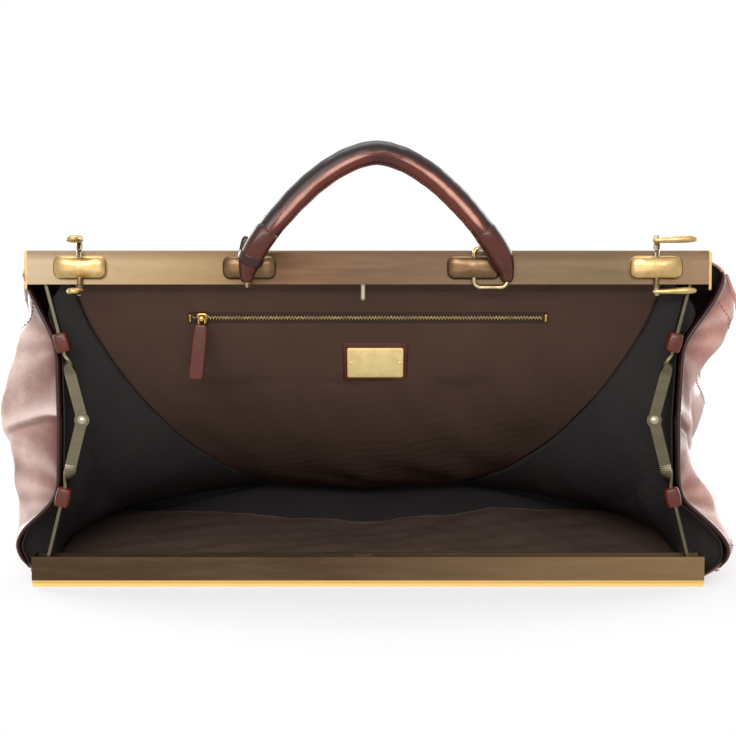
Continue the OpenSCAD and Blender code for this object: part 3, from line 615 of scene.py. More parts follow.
def bodySkin(s):
    # the outer skin, the rounded edge and closed plane of the base, and the inner skin behind them
    loops = bodyLoops(s)
    cols = loops.shape[1]
    normal = gridNormals(loops, True)
    outside = np.sign(np.einsum("ijk,ijk->", normal, loops - loops.mean((0, 1))))
    lump, wear = bodyLumps(s, loops)
    outer = loops + lump[..., None] * normal * outside
    outer[..., 2] = np.maximum(outer[..., 2], 0.0)
    # the base closes towards a level line along its middle
    last = outer[-1]
    centre = np.column_stack([np.clip(last[:, 0], -s["baseHalf"], s["baseHalf"]), np.zeros(cols),
                              np.full(cols, s["baseMiddle"])])
    inwards = unit((centre - last) * [1, 0, 1])
    turn = np.linspace(0, np.pi / 2, 6)[1:, None, None]
    bend = last + s["rim"] * ((1 - np.cos(turn)) * inwards + np.sin(turn) * [0, 1, 0])
    fade = np.linspace(1, 0, 16)[1:-1]
    flatEnd = centre + (bend[-1] - centre) * [1, 0, 1] * fade[:, None, None]
    flatEnd[..., 1] = bend[-1][:, 1] - s["baseDish"] * (1 - fade[:, None] ** 2)
    outer = np.concatenate([outer, bend, flatEnd])
    inner = outer - s["leather"] * gridNormals(outer, True) * outside
    inner[..., 2] = np.maximum(inner[..., 2], s["leather"] / 2)
    lip = (outer[:1] + inner[:1]) / 2 - [0, s["lip"], 0]
    size = outer[..., 0].size
    inside = np.concatenate([np.ones(size), np.full(cols, 0.5), np.zeros(size), [1, 0]])
    # the outer skin carries the painted highlight on its ridges and painted shade in its folds
    worn = np.zeros(len(inside))
    worn[size + cols:][:wear.size] = wear.ravel()
    return ringSkin(np.concatenate([inner[::-1], lip, outer])), outer, inside, worn

bodyShell, bodyOuter, bodyInside, bodySheenAndShade = bodySkin(bodySet)
addPiece("leatherBody", bodyShell, "leather", "bag",
         ["front_wall", "back_wall", "base_panel", "left_gusset", "right_gusset"],
         shade=bodyInside, wear=bodySheenAndShade)
print("leather body made:", len(bodyShell[0]), "points")

# Welted seams where the gussets meet the walls and round the base, each with a row of stitches

# columns of the body's loop where its floor, left gusset, back wall and right gusset end
floorEnd = bodySet["across"]
leftEnd = floorEnd + bodySet["sides"]
wallEnd = leftEnd + bodySet["across"]
rightEnd = wallEnd + bodySet["sides"]

pipingSet = {"radius": 2.1, "sides": 8, "columns": [floorEnd + 3, leftEnd - 4, wallEnd + 4, rightEnd - 3],
             "stitched": [floorEnd + 10, leftEnd - 12, wallEnd + 12, rightEnd - 10, leftEnd + 5, wallEnd - 5],
             "baseRow": 1, "baseStitched": (-4, 8), "middle": (0, 150, 80)}

def onBody(s, column, first, last, step=1):
    # a column of the skin between two rows, with its directions outwards
    path = bodyOuter[first:last:step, column]
    normal = gridNormals(bodyOuter[:bodySet["rows"]], True)[first:last:step, column]
    return path, normal * np.sign(np.einsum("ij,ij->", normal, path - s["middle"]))

def piping(s, path, normal, taper=None):
    # a round cord carried along a seam, kept above the ground
    ring = sweep(path, circle(s["sides"], s["radius"]), normal, taper)
    ring[..., 2] = np.maximum(ring[..., 2], 0.05)
    return ringSkin(ring)

def bodyPiping(s):
    # cords along the gussets' seams, and rows of stitches beside them
    shells, threads = [], []
    rows = bodySet["rows"]
    for column in s["columns"]:
        path, normal = onBody(s, column, 2, rows, 2)
        taper = np.minimum(1, 0.45 + np.arange(len(path)) / 4)
        shells.append(piping(s, path + normal * 0.6, normal, taper))
    for column in s["stitched"]:
        path, normal = onBody(s, column, 3, rows - 2)
        threads.append(stitches(path + normal * 0.1, normal))
    # the same welt and stitches right round the base
    around = lambda row: np.vstack([bodyOuter[rows + row], bodyOuter[rows + row][:3]])
    loop = around(s["baseRow"])
    away = unit((loop - [0, 0, bodySet["baseMiddle"]]) * [1, 0, 1])
    shells.append(piping(s, loop + away * 0.5, away))
    for row, out in zip(s["baseStitched"], (away, np.broadcast_to([0.0, 1.0, 0.0], loop.shape))):
        line = around(row)
        raised = line[:, 2] > 6
        threads.append(stitches(line[raised] + out[raised] * 0.3, out[raised]))
    return joined(shells), joined(threads)

pipingShell, pipingThreads = bodyPiping(pipingSet)
addPiece("bodyPiping", pipingShell, "leather", "bag")
addPiece("bodyStitches", pipingThreads, "thread", "bag")
print("piping made:", len(pipingShell[0]) + len(pipingThreads[0]), "points")

# Leather hems behind the bars: folded strips that the clamping strips hold

hemHalf = 263.5

def hem(zLow, zHigh, y0, y1):
    # a square section with round corners, carried along X with a slight wave
    x = np.linspace(-hemHalf, hemHalf, 90)[:, None]
    wave = 0.35 * np.sin(x / 23) + 0.2 * np.sin(x / 9 + 1)
    deep, tall = (squarish(20, 0.35) * [(y1 - y0) / 2, (zHigh - zLow) / 2]).T
    return ringSkin(np.stack([x + 0 * deep, (y0 + y1) / 2 + deep * (1 - 0.04 * wave ** 2),
                              (zLow + zHigh) / 2 + tall + 0.3 * wave], -1))

addPiece("frontHem", hem(0.5, 22.0, 20.5, 24.8), "leather", "bag", ["front_hem"], soft=False)
addPiece("backHem", hem(243.4, 261.6, 20.9, 25.2), "leather", "hem", ["back_hem"])

# Lining. Its back sheet hangs from the bar in a curve, the gusset sheets slope from that
# sheet's edges out to the floor, and the front sheet lies on the front wall

liningSet = {
    "low": 34.0, "hang": 209.0, "fall": 95.0, "start": 24.0, "y0": 18.5, "y1": 266.0, "thick": 1.0,
    "under": 2.2, "sag": 5.0, "rimGap": 5.0,
    "swells": [(3.5, 120, 60), (-10, -8, 100)],    # height, middle and spread of the floor's swells
    "seam": ([18, 40, 60, 100, 150, 200, 266], [240, 226, 209, 176, 140, 112, 80]),
    "floor": ([22, 60, 130, 200, 266], [247, 260, 268, 270, 269]),
    "rise": ([22, 40, 150, 230, 266], [5.2, 5.6, 7.5, 13, 19]),
}
clothWaves = [(1.3, 88, (1, 0.25, 0.1), 0.7), (1.0, 57, (0.8, -0.6, 0.2), 2.2), (0.7, 36, (-0.5, 1, 0.5), 4.1),
              (0.45, 21, (1, 0.4, 0.9), 0.3), (0.25, 12, (0.3, 1, -0.8), 1.2)]

def liningHeight(s, y):
    # the back sheet's curve: an exponential fall from the bar towards the floor
    return s["low"] + s["hang"] * np.exp(-(y - s["start"]) / s["fall"])

def depthRows(s, rows):
    # depths from the mouth to the base, closer together at the mouth
    return s["y0"] + (s["y1"] - s["y0"]) * np.linspace(0, 1, rows) ** 1.35

def backLining(s, rows=90, cols=150):
    # the height curve across the seams' width, waved inside its edges and sagging further in
    y = depthRows(s, rows)[:, None]
    u = np.linspace(-1, 1, cols)[None]
    half = np.interp(y, *s["seam"])
    grid = np.stack([u * half, y + 0 * u, liningHeight(s, y) - s["under"] + 0 * u], -1)
    loose = smooth01(y, 30, 70) * np.clip(1.02 - np.abs(u), 0, 0.2) * 5
    grid[..., 2] += ripple(grid, clothWaves) * loose
    grid[..., 2] -= s["sag"] * smooth01(y, 90, 200) * (1 - u ** 2)
    return sheetSkin(grid, s["thick"])

def gussetLining(s, side, rows=90, cols=44):
    # a sheet from the floor to the back sheet's edge: by the mouth it follows the leather's rim,
    # further in it slopes as a power of its height, with waves and one sharp pleat
    y = depthRows(s, rows)[:, None]
    t = np.linspace(0, 1, cols)[None]
    seam, foot = np.interp(y, *s["seam"]), np.interp(y, *s["floor"])
    low, high = np.interp(y, *s["rise"]), liningHeight(s, y) - 2.6
    z = low + (high - low) * t
    slope = foot + (seam - foot) * t ** 1.25
    rim = np.interp(z, *bodySet["leftRim" if side < 0 else "rightRim"]) - s["rimGap"]
    head = smooth01(t, 0.82, 0.99)
    rim = rim * (1 - head) + (seam + 0.5) * head
    early = smooth01(y, 21, 62)
    x = rim * (1 - early) + slope * early
    grid = np.stack([side * x, y + 0 * t, z], -1)
    loose = smooth01(y, 28, 70) * np.sin(np.pi * t) ** 0.5
    pleat = 3.0 * np.exp(-((t - 0.5) / 0.06) ** 2) - 2.4 * np.sin(t * 13 + y * 0.03) * np.sin(np.pi * t)
    grid[..., 0] += side * loose * (ripple(grid, clothWaves) * 1.4 + pleat)
    return sheetSkin(grid, s["thick"])

def frontLining(s, rows=80, cols=120):
    # a nearly level sheet over the front wall, with waves and broad Gaussian swells
    y = depthRows(s, rows)[:, None]
    u = np.linspace(-1, 1, cols)[None]
    foot = np.interp(y, *s["floor"])
    z = np.interp(y, *s["rise"]) - 0.6
    grid = np.stack([u * foot, y + 0 * u, z + 0 * u], -1)
    loose = smooth01(y, 34, 90) * np.clip(1.02 - np.abs(u), 0, 0.25) * 4
    grid[..., 2] += (ripple(grid, clothWaves) + 1.0) * loose * 0.6
    swell = sum(height * np.exp(-((grid[..., 0] - middle) / spread) ** 2)
                for height, middle, spread in s["swells"])
    grid[..., 2] += swell * smooth01(y, 130, 262)
    return sheetSkin(grid, s["thick"])

def baseLining(s, rows=24, cols=90):
    # straight lines from the front sheet to the back sheet, bowed as a sine
    t = np.linspace(0, 1, rows)[:, None]
    u = np.linspace(-1, 1, cols)[None]
    y = np.full_like(t, s["y1"] + 1.0)
    half = np.interp(s["y1"], *s["floor"]) * (1 - t) + np.interp(s["y1"], *s["seam"]) * t
    low, high = 3.5, liningHeight(s, s["y1"]) - 1
    grid = np.stack([u * half, y + 1.6 * np.sin(np.pi * t) * (1 - u ** 2), low + (high - low) * t + 0 * u], -1)
    return sheetSkin(grid, s["thick"])

# the gusset and base sheets take the cloth darkened as painted shade, and the front sheet takes the cloth
# lightened as painted light
for name, cloth, finish, solid in (
        ("backLiningCloth", backLining(liningSet), "lining", "back_lining"),
        ("frontLiningCloth", frontLining(liningSet), "paintedLightFloorLining", "front_lining"),
        ("leftGussetCloth", gussetLining(liningSet, -1), "gusset", "left_gusset_lining"),
        ("rightGussetCloth", gussetLining(liningSet, 1), "gusset", "right_gusset_lining"),
        ("baseLiningCloth", baseLining(liningSet), "gusset", "base_lining")):
    addPiece(name, cloth, finish, "bag", [solid])
print("linings made")

# Pocket: a patch whose edges sink behind the back lining, then its zip, stops, slider and pull

pocketSet = {"half": 150, "y0": 25.5, "y1": 80, "proud": 0.8, "sink": 2.0, "thick": 0.8}

def liningSlope(s, y):
    # unit vectors down the lining's curve and square to it, towards the mouth
    steep = s["hang"] / s["fall"] * np.exp(-(y - s["start"]) / s["fall"])
    down = unit(np.stack([0 * steep, 0 * steep + 1, -steep], -1))
    return down, down[..., [0, 2, 1]] * [1, 1, -1]

def pocketCloth(s, rows=40, cols=110):
    # the lining's curve raised along its normal, and sunk behind it at the edges
    y = np.linspace(s["y0"], s["y1"], rows)[:, None]
    u = np.linspace(-1, 1, cols)[None]
    inside = smooth01(1 - np.abs(u), 0, 0.1) * smooth01(s["y1"] - y, 0, 14) * smooth01(y - s["y0"], -1, 3)
    lift = -s["sink"] + (s["sink"] + s["proud"]) * inside
    high = liningHeight(liningSet, y) - liningSet["under"]
    grid = np.stack([u * s["half"] + 0 * y, y + 0 * u, high + 0 * u], -1)
    return sheetSkin(grid + lift[..., None] * liningSlope(liningSet, y)[1], s["thick"])

def onLining(x, y, lift):
    # a place on the lining at depth y as a slab's frame, and the direction out of it
    down, out = liningSlope(liningSet, y)
    where = np.array([x, y, liningHeight(liningSet, y)]) + out * lift
    return {"origin": where, "across": np.array([1.0, 0, 0]), "up": -down}, out

def inFrame(frame, across, up, away):
    # points from how far they lie across, up and, as vectors, out of a frame
    return frame["origin"] + across[..., None] * frame["across"] + up[..., None] * frame["up"] + away

addPiece("pocketCloth", pocketCloth(pocketSet), "lining", "pocket", ["pocket_bag"])

zipSet = {"y": 38.0, "half": 143.0, "tape": 9.0, "pitch": 2.5, "tooth": (1.5, 3.4, 1.4), "apart": 1.3,
          "x": -134.0, "bridge": ((33.6, 213.6), (31.0, 213.2), (28.6, 212.8)), "stud": (27.8, 212.86)}

def zipTape(s):
    # a flat strip on the lining, raised as a Gaussian along its middle
    frame, out = onLining(0, s["y"], 0.3)
    x = np.linspace(-s["half"] - 2, s["half"] + 2, 150)[:, None]
    v = np.linspace(-1, 1, 14)[None]
    lift = 0.35 * np.exp(-(v / 0.2) ** 2) + 0.16 * np.sin(x / 14) * np.abs(v)
    return sheetSkin(inFrame(frame, x, v * -s["tape"] / 2, (lift + 1.5)[..., None] * out), 0.7)

def zipTeeth(s):
    # two rows of rounded teeth that mesh along the middle of the tape
    frame, out = onLining(0, s["y"], 2.1)
    count = int(2 * (s["half"] - 1) / s["pitch"])
    wide, tall, deep = s["tooth"]
    shape = circle(8) * [wide / 2, -tall / 2]
    share, lift = np.array([[0.8, 0], [1, 0.3], [1, 0.8], [0.55, deep]]).T[..., None]
    shells = []
    for n in range(2 * count):
        at = (n / 2 - count / 2) * s["pitch"]
        aside = (n % 2 - 0.5) * s["apart"]
        shells.append(ringSkin(inFrame(frame, shape[:, 0] * share + at, shape[:, 1] * share - aside,
                                       lift[..., None] * out)))
    return joined(shells)

def zipStops(s):
    # a small rounded block past each end of the teeth
    outline = roundRect(2.4, 7, 0.8)
    return joined([slab(outline, 1.8, 0.5, 0.2, **onLining(side * (s["half"] + 0.8), s["y"], 2.0)[0])
                   for side in (-1, 1)])

def zipSlider(s):
    # a plate over the teeth, its bridge and the stud that the pull hangs from
    outline = roundRect(9.6, 10.6, 2.6)
    outline[:, 0] *= 1 - 0.22 * (outline[:, 1] < 0) * np.abs(outline[:, 1]) / 5.3
    plate = slab(outline, 2.6, 0.8, 0.6, **onLining(s["x"], s["y"], 2.0)[0])
    bridge = ringSkin(sweep([(s["x"], y, z) for y, z in s["bridge"]], circle(12, 1.3), (1, 0, 0)))
    stud = lathe([(0.2, -0.5), (1.9, -0.45), (2.3, 0), (1.9, 0.5), (1.2, 0.9)], (s["x"], *s["stud"]))
    return joined([plate, bridge, stud])

addPiece("zipTapeCloth", zipTape(zipSet), "tape", "pocket", ["zip_tape"])
addPiece("zipTeethRows", zipTeeth(zipSet), "ring", "pocket", ["zip_teeth"])
addPiece("zipEndStops", zipStops(zipSet), "gold", "pocket", ["zip_stops"])
addPiece("zipSliderBody", zipSlider(zipSet), "gold", "slider", ["zip_slider"])

pullSet = {"x": -134.0, "y": 29.2, "top": 208.4, "length": 45.0, "width": 13.0, "thick": 3.4, "swing": 6.0}

def swungPull(s, points):
    # turns points about the slider's stud, as the strap hangs in the photograph
    a, level = np.radians(s["swing"]), zipSet["stud"][1]
    x, z = points[:, 0] - s["x"], points[:, 2] - level
    return np.column_stack([s["x"] + x * np.cos(a) + z * np.sin(a), points[:, 1],
                            level - x * np.sin(a) + z * np.cos(a)])

def leatherPull(s):
    # a tapered strap, narrower at its head, with a row of stitches inside its edge
    a = np.linspace(0, 2 * np.pi, 61)[:-1]
    v = np.sin(a)
    square = np.sign(np.cos(a)) * np.abs(np.cos(a)) ** 0.22
    half = s["width"] / 2 * (0.9 - 0.06 * v)
    outline = np.stack([half * square, s["length"] / 2 * np.sign(v) * np.abs(v) ** 0.4], -1)
    middle = s["top"] - s["length"] / 2
    points, faces = slab(outline, s["thick"], 1.1, 0.5, (s["x"], s["y"] + 1.7, middle))
    row = np.vstack([outline, outline[:1]]) * [0.76, 0.9]
    path = np.stack([s["x"] + row[:, 0], np.full(len(row), s["y"] - 2.0), middle + row[:, 1]], -1)
    return (swungPull(s, points), faces), stitches(swungPull(s, path), (0, -1, 0), 2.6, 1.9, 0.55, 0.0)

pullShell, pullThread = leatherPull(pullSet)
addPiece("leatherPullStrap", pullShell, "handle", "pull", ["leather_pull"], shade=0.3)
addPiece("pullStitches", pullThread, "thread", "pull")

def pullWire(s):
    # a bent wire link from the slider's stud into the strap
    a = np.linspace(0, 2 * np.pi, 49)
    z = s["top"] + 0.2 + 5.6 * np.sin(a)
    x = s["x"] + (2.5 + 0.6 * np.sin(a)) * np.cos(a)
    return ringSkin(sweep(np.stack([x, np.full_like(a, s["y"] + 0.2), z], -1)[:-1], circle(10, 0.75), (0, 1, 0)))

addPiece("pullWireLink", pullWire(pullSet), "gold", "pull", ["pull_ring"])

# Label: a stitched leather surround and a bare brass plate held by two pins

labelSet = {"x": 6.0, "y": 60.0, "width": 54.0, "height": 38.0, "border": 4.0, "pinX": 20.0, "inset": 4.6}

def labelPieces(s):
    # two rounded slabs on each other, a row of stitches and a domed pin at each side
    frame, out = onLining(s["x"], s["y"], 0.2)
    surround = slab(roundRect(s["width"], s["height"], 3.0), 2.2, 0.8, 0.3, **frame)
    raised = dict(frame, origin=frame["origin"] + out * 2.3)
    w, h = s["width"] - 2 * s["border"], s["height"] - 2 * s["border"]
    plate = slab(roundRect(w, h, 1.6), 1.0, 0.35, 0.35, **raised)
    row = roundRect(s["width"] - s["inset"], s["height"] - s["inset"], 1.6, 8)
    row = np.vstack([row, row[:1]])
    path = inFrame(frame, row[:, 0], row[:, 1], out * 2.35)
    pins = [lathe([(1.3, 0), (1.25, 0.4), (0.8, 0.8), (0.2, 0.95)],
                  frame["origin"] + out * 3.45 + frame["across"] * side * s["pinX"], out, 16) for side in (-1, 1)]
    return surround, plate, stitches(path, out, 2.6, 1.9, 0.55, 0.05), joined(pins)

surround, plate, labelThread, labelPins = labelPieces(labelSet)
addPiece("labelLeather", surround, "handle", "pocket", ["label_surround"], shade=0.4)
addPiece("labelPlateBare", plate, "plate", "pocket", ["label_plate"])
addPiece("labelStitches", labelThread, "thread", "pocket")
addPiece("labelPinHeads", labelPins, "plate", "pocket", ["label_pins"])
print("pocket, zip and label made")

# Handle: a rolled leather arch between two end loops, darker on top

handleSizes = {"left": (-78.0, -41.75), "right": (92.0, -15.75), "foot": 280.0, "rise": 62.0, "peak": 1.77,
               "radius": 9.4, "slim": 0.94, "half": 86.0, "sides": 40, "steps": 120}

def handleArch(s, u):
    # a straight line from foot to foot, raised by 1 - |u| to a power
    left, right = np.array(s["left"]), np.array(s["right"])
    flat = (left + right) / 2 + u[:, None] * (right - left) / 2
    return np.column_stack([flat, s["foot"] + s["rise"] * (1 - np.abs(u) ** s["peak"])])

def handleLine(s):
    # the level direction from foot to foot, and the one square to it
    line = unit(np.array(s["right"]) - np.array(s["left"]))
    return np.append(line, 0.0), np.array([-line[1], line[0], 0.0])

def domed(path, radius, first, last, steps=9):
    # lengthens a path by a half ball at the chosen ends and gives each ring's share of its radius
    turn = np.linspace(0, np.pi / 2, steps)[1:]
    reach, share = radius * np.sin(turn), np.maximum(np.cos(turn), 0.03)
    parts, shares = [path], [np.ones(len(path))]
    if first:
        away = path[0] - path[1]
        parts.insert(0, path[0] + reach[::-1, None] * unit(away))
        shares.insert(0, share[::-1])
    if last:
        away = path[-1] - path[-2]
        parts.append(path[-1] + reach[:, None] * unit(away))
        shares.append(share)
    return np.vstack(parts), np.concatenate(shares)

def handleRoll(s):
    # circles along the arch, ending in half balls round its feet, with a stitched groove underneath
    path, ends = domed(handleArch(s, np.linspace(-1, 1, s["steps"])), s["radius"] * s["slim"], True, True)
    line, across = handleLine(s)
    spread = np.clip((path - path[len(path) // 2]) @ line / s["half"], -1, 1)
    radius = s["radius"] * (s["slim"] + (1 - s["slim"]) * np.cos(spread * np.pi / 2)) * ends
    rings = sweep(path, circle(s["sides"]), across, radius[:, None])
    spoke = spokes(rings)
    front, top = -(spoke @ across), spoke[..., 2]
    turn = np.arctan2(top, front)
    groove = np.exp(-((turn + 1.5) / 0.05) ** 2) - 0.6 * np.exp(-((turn + 1.32) / 0.1) ** 2)
    bump = ripple(rings, [(0.12, 17, (1, 0.2, 0.3), 0.3), (0.08, 9.5, (0.7, 0.3, -1), 1.1)])
    rings = rings + spoke * ((bump - 0.55 * groove) * ends[:, None])[..., None]
    # a painted highlight along the front, darker below and nearly black on top and towards the feet
    either = np.arctan2(top, np.abs(front))
    shade = 0.28 * smooth01(np.abs(either + 0.1), 0.0, 0.26) + 0.25 * smooth01(-top, 0.55, 1.0)
    shade = shade + 0.75 * smooth01(top, 0.08, 0.5)
    crest = np.exp(-((spread - 0.02) / 0.16) ** 2)[:, None] + smooth01(np.abs(spread), 0.86, 1.0)[:, None]
    shade = np.concatenate([np.clip(shade + 0.22 * crest, 0.03, 1).ravel(), [0.6, 0.6]])
    pick = int(np.argmin(np.abs(turn[len(path) // 2] + 1.15)))
    return ringSkin(rings), shade, rings[12:-12, pick], spoke[12:-12, pick]

handleShell, handleShade, handleSeam, handleOut = handleRoll(handleSizes)
addPiece("handleLeather", handleShell, "handle", "grip", ["handle_roll"], shade=handleShade)
addPiece("handleStitches", stitches(handleSeam, handleOut, 3.4, 2.5, 0.7, 0.05), "thread", "grip")

endSet = {"left": ((-93.0, -30.2), (-78.0, -41.75)), "right": ((109.0, -4.2), (92.0, -15.75)),
          "low": 240.9, "slope": (0.61, 0.79), "bend": (21, 8), "thin": (4.4, 5.4)}

def endLoop(s, side):
    # a leather sleeve that carries the roll on from its foot, narrowing to a tab round the ring's wire
    leg, foot = (np.array(point) for point in s[side])
    line, across = handleLine(handleSizes)
    t = np.linspace(0, 1, 30)[:, None]
    start = np.append(foot, handleSizes["foot"])
    out, down = s["slope"]
    ahead = line * (-out if side == "left" else out) - np.array([0, 0, down])
    end = np.append(leg, s["low"] + 3.4)
    path = ((1 - t) ** 3 * start + 3 * (1 - t) ** 2 * t * (start + s["bend"][0] * ahead)
            + 3 * (1 - t) * t ** 2 * (end + np.array([0, 0, s["bend"][1]])) + t ** 3 * end)
    radius = handleSizes["radius"]
    size = radius - np.hstack([smooth01(t, 0.3, 1.0), smooth01(t, 0.2, 0.95)]) * s["thin"]
    path, ends = domed(path, radius, True, False)
    head = len(path) - len(t)
    size = np.vstack([np.full((head, 2), radius), size]) * ends[:, None]
    size[-3:] *= np.array([[0.96], [0.82], [0.5]])
    path[-3:, 2] += np.array([0, -0.9, -1.4])
    rings = sweep(path, squarish(28, 0.86), across, size)
    spoke = spokes(rings)
    turn = np.arctan2(spoke @ line, -(spoke @ across))
    rows = []
    for angle in (-0.55, 0.55):
        pick = int(np.argmin(np.abs(turn[-8] - angle)))
        rows.append(stitches(rings[head + 9:-4, pick], spoke[head + 9:-4, pick], 2.8, 2.0, 0.6, 0.05))
    shade = np.clip(0.36 + 0.5 * smooth01(spoke[..., 2], 0.1, 0.6) + 0.3 * smooth01(np.abs(turn), 0.5, 1.6), 0, 1)
    return ringSkin(rings), joined(rows), np.concatenate([shade.ravel(), [0.5, 0.5]])

for side, body in (("left", "left_bail"), ("right", "right_bail")):
    tab, tabThread, tabShade = endLoop(endSet, side)
    addPiece(side + "EndTab", tab, "handle", body, [side + "_end_loop"], shade=tabShade)
    addPiece(side + "EndTabStitches", tabThread, "thread", body)

# The left tab's keeper: a dark band round the tab with the strap's short end standing up beside it

keeperSet = {"middle": (-88.8, -38.5, 262.6), "along": (0.38, -0.39, 0.84), "half": (10.3, 9.6), "height": 9.0,
             "tongue": ((-94.4, -40.0, 256.0), (-95.8, -41.0, 267.0), (-91.5, -40.5, 278.0)), "tip": (3.8, 1.8)}

def strapKeeper(s):
    # a band round the tab, and a strap along a quadratic curve beside it
    t = np.linspace(-1, 1, 14)[:, None]
    rounded = (1 - np.abs(t) ** 5) ** 0.5 * 0.16 + 0.84
    middle = np.array(s["middle"]) + t * s["height"] / 2 * np.array(s["along"])
    band = ringSkin(sweep(middle, circle(28), handleLine(handleSizes)[1], np.array(s["half"]) * rounded))
    u = np.linspace(0, 1, 16)[:, None]
    a, b, c = (np.array(point) for point in s["tongue"])
    path = (1 - u) ** 2 * a + 2 * u * (1 - u) * b + u ** 2 * c
    ends = np.minimum(1, 0.55 + np.minimum(u, 1 - u) * 5)
    return joined([band, ringSkin(sweep(path, circle(16) * s["tip"], (0, 1, 0), ends[:, 0]))])

addPiece("leftTabKeeper", strapKeeper(keeperSet), "handle", "left_bail", shade=0.72)
print("handle made")

# Leather loops round the folding arms, half way along each strip

armSet = {"pinX": 258.0, "low": 12.0, "high": 254.0, "kneeX": 227.5, "kneeZ": 133.0, "at": 0.49,
          "lowY": 8.15, "highY": 10.85, "size": (12.0, 12.6, 16.0)}

def armLoop(s, side, lower):
    # a soft band, a superellipse in section, with a rounded rim at each end
    pin = np.array([side * s["pinX"], s["low"] if lower else s["high"]])
    knee = np.array([side * s["kneeX"], s["kneeZ"]])
    along = unit(knee - pin)
    middle = pin + (knee - pin) * s["at"]
    y = s["lowY"] if lower else s["highY"]
    t = np.linspace(-1, 1, 24)
    ends = (1 - np.abs(t) ** 6) ** 0.5 * 0.3 + 0.7 + 0.03 * np.cos(t * 3)
    wide, deep, tall = s["size"]
    shape = squarish(28, 0.55) * np.array([wide, deep]) / 2
    across = np.array([along[1], -along[0]])
    place = middle + t[:, None] * tall / 2 * along
    flat = place[:, None] + ends[:, None, None] * shape[:, :1] * across
    rings = np.stack([flat[..., 0], y + ends[:, None] * shape[:, 1], flat[..., 1]], -1)
    shells = []
    for k in (-0.72, 0.72):
        row = middle + np.linspace(-0.8, 0.8, 12)[:, None] * wide / 2 * across + k * tall / 2 * along
        path = np.stack([row[:, 0], np.full(12, y - deep / 2 - 0.02), row[:, 1]], -1)
        shells.append(stitches(path, (0, -1, 0), 2.2, 1.6, 0.5, 0.05))
    return ringSkin(rings), joined(shells)

for side, sign in (("left", -1), ("right", 1)):
    for half, lower in (("lower", True), ("upper", False)):
        body = side + ("_low" if lower else "_high")
        band, bandThread = armLoop(armSet, sign, lower)
        name = side + half.capitalize()
        addPiece(name + "Band", band, "handle", body, [f"{side}_{half}_loop"], shade=0.27)
        addPiece(name + "BandStitches", bandThread, "thread", body)
print("arm loops made")

# Folded binding along the mouth's rim on each side, darker than the wall, with its stitches

bindingSet = {"thick": 2.2, "deep": 4.3, "back": 1.6, "from": 4, "sides": 14}

def mouthBinding(s, side):
    # a flat oval carried along the rim from bar to bar
    first, last = (floorEnd, leftEnd) if side < 0 else (wallEnd, rightEnd)
    path = bodyOuter[0, first + s["from"]:last - s["from"] + 1]
    path = path + np.array([-side * 0.8, s["back"], 0])
    shape = circle(s["sides"]) * [s["thick"], s["deep"]]
    taper = np.minimum(1, 0.55 + np.minimum(np.arange(len(path)), np.arange(len(path))[::-1]) / 6)
    rings = sweep(path, shape, (0, 1, 0), taper)
    out = unit(np.cross(np.gradient(path, axis=0), [0, 1, 0]))
    out = out * np.sign(out[:, :1]) * side
    row = path + out * s["thick"] * 0.92 + np.array([0, 1.9, 0])
    return ringSkin(rings), stitches(row, out, 3.6, 2.6, 0.75, 0.05)

for side, sign in (("left", -1), ("right", 1)):
    binding, bindingThread = mouthBinding(bindingSet, sign)
    addPiece(side + "MouthBinding", binding, "handle", "bag", shade=0.66)
    addPiece(side + "BindingStitches", bindingThread, "thread", "bag")
print("mouth bindings made")

# Pads, clips and handle rings

padSet = {"z": 254.25, "length": 42.0, "height": 18.5, "corner": 6.2, "wall": 2.2, "edge": 0.25, "crown": 6.0,
          "power": 2.5}

def pad(s, x):
    # a rounded rectangle whose front is crowned as a superellipse
    outline = roundRect(s["length"], s["height"], s["corner"], 9)
    return slab(outline, s["wall"], s["edge"], s["crown"], (x, 0.0, s["z"]), power=s["power"], steps=6)

padPlaces = {"left_clip_pad": -226, "left_handle_pad": -93, "right_handle_pad": 83, "right_clip_pad": 226}
for name, x in padPlaces.items():
    side, use = name.split("_")[:2]
    addPiece(side + use.capitalize() + "Pad", pad(padSet, x), "pad" if use == "clip" else "darkPad",
             "jaw", [name])

clipSet = {
    "y": -4.2, "radius": 2.8, "root": 3.7, "reach": 31.5, "thick": 5.6,
    # heights along the pin with its share of the radius, and each leaf's height and lift
    "pin": ([232.4, 238.6, 239.0, 240.6, 241.0, 268.0, 268.4, 271.6, 272.2, 279.2],
            [0.9, 0.9, 0.98, 0.98, 0.72, 0.72, 0.98, 0.98, 0.8, 0.8]),
    "leaves": [(235.4, 0.9), (275.6, 1.0)],
}

def clipPin(s, x):
    # a turned pin with a collar under each leaf
    z, share = (np.repeat(values, 2)[1:-1] for values in s["pin"])
    z = np.maximum.accumulate(z + np.tile([-0.15, 0.15], len(z) // 2))
    return lathe(np.column_stack([share * s["radius"], z]), (x, s["y"], 0), (0, 0, 1), 28)

def clipLeaf(s, x, z, direction, spread, lift):
    # an oval section that widens from the pin and closes in a round tip, curling up or down a little
    t = np.sin(np.linspace(-np.pi / 2, np.pi / 2, 34)) * 0.5 + 0.5
    root = s["root"]
    along = -root + (s["reach"] + root) * t
    rounded = np.sqrt(np.clip(1 - np.abs(2 * t - 1) ** 5, 0.0004, 1))
    wide = (root + (spread - root) * smooth01(along, 2, 18)) * rounded
    tall = s["thick"] / 2 * (0.78 + 0.22 * smooth01(along, 4, 22)) * rounded ** 0.8
    shape = squarish(26, 0.72)
    direction = np.array([*direction, 0.0])
    crosswise = np.array([-direction[1], direction[0], 0])
    middle = np.array([x, s["y"], z]) + along[:, None] * direction
    middle[:, 2] += lift * smooth01(along, 0, 30)
    return ringSkin(middle[:, None] + (wide[:, None] * shape[:, 0])[..., None] * crosswise
                    + (tall[:, None] * shape[:, 1])[..., None] * np.array([0, 0, 1]))

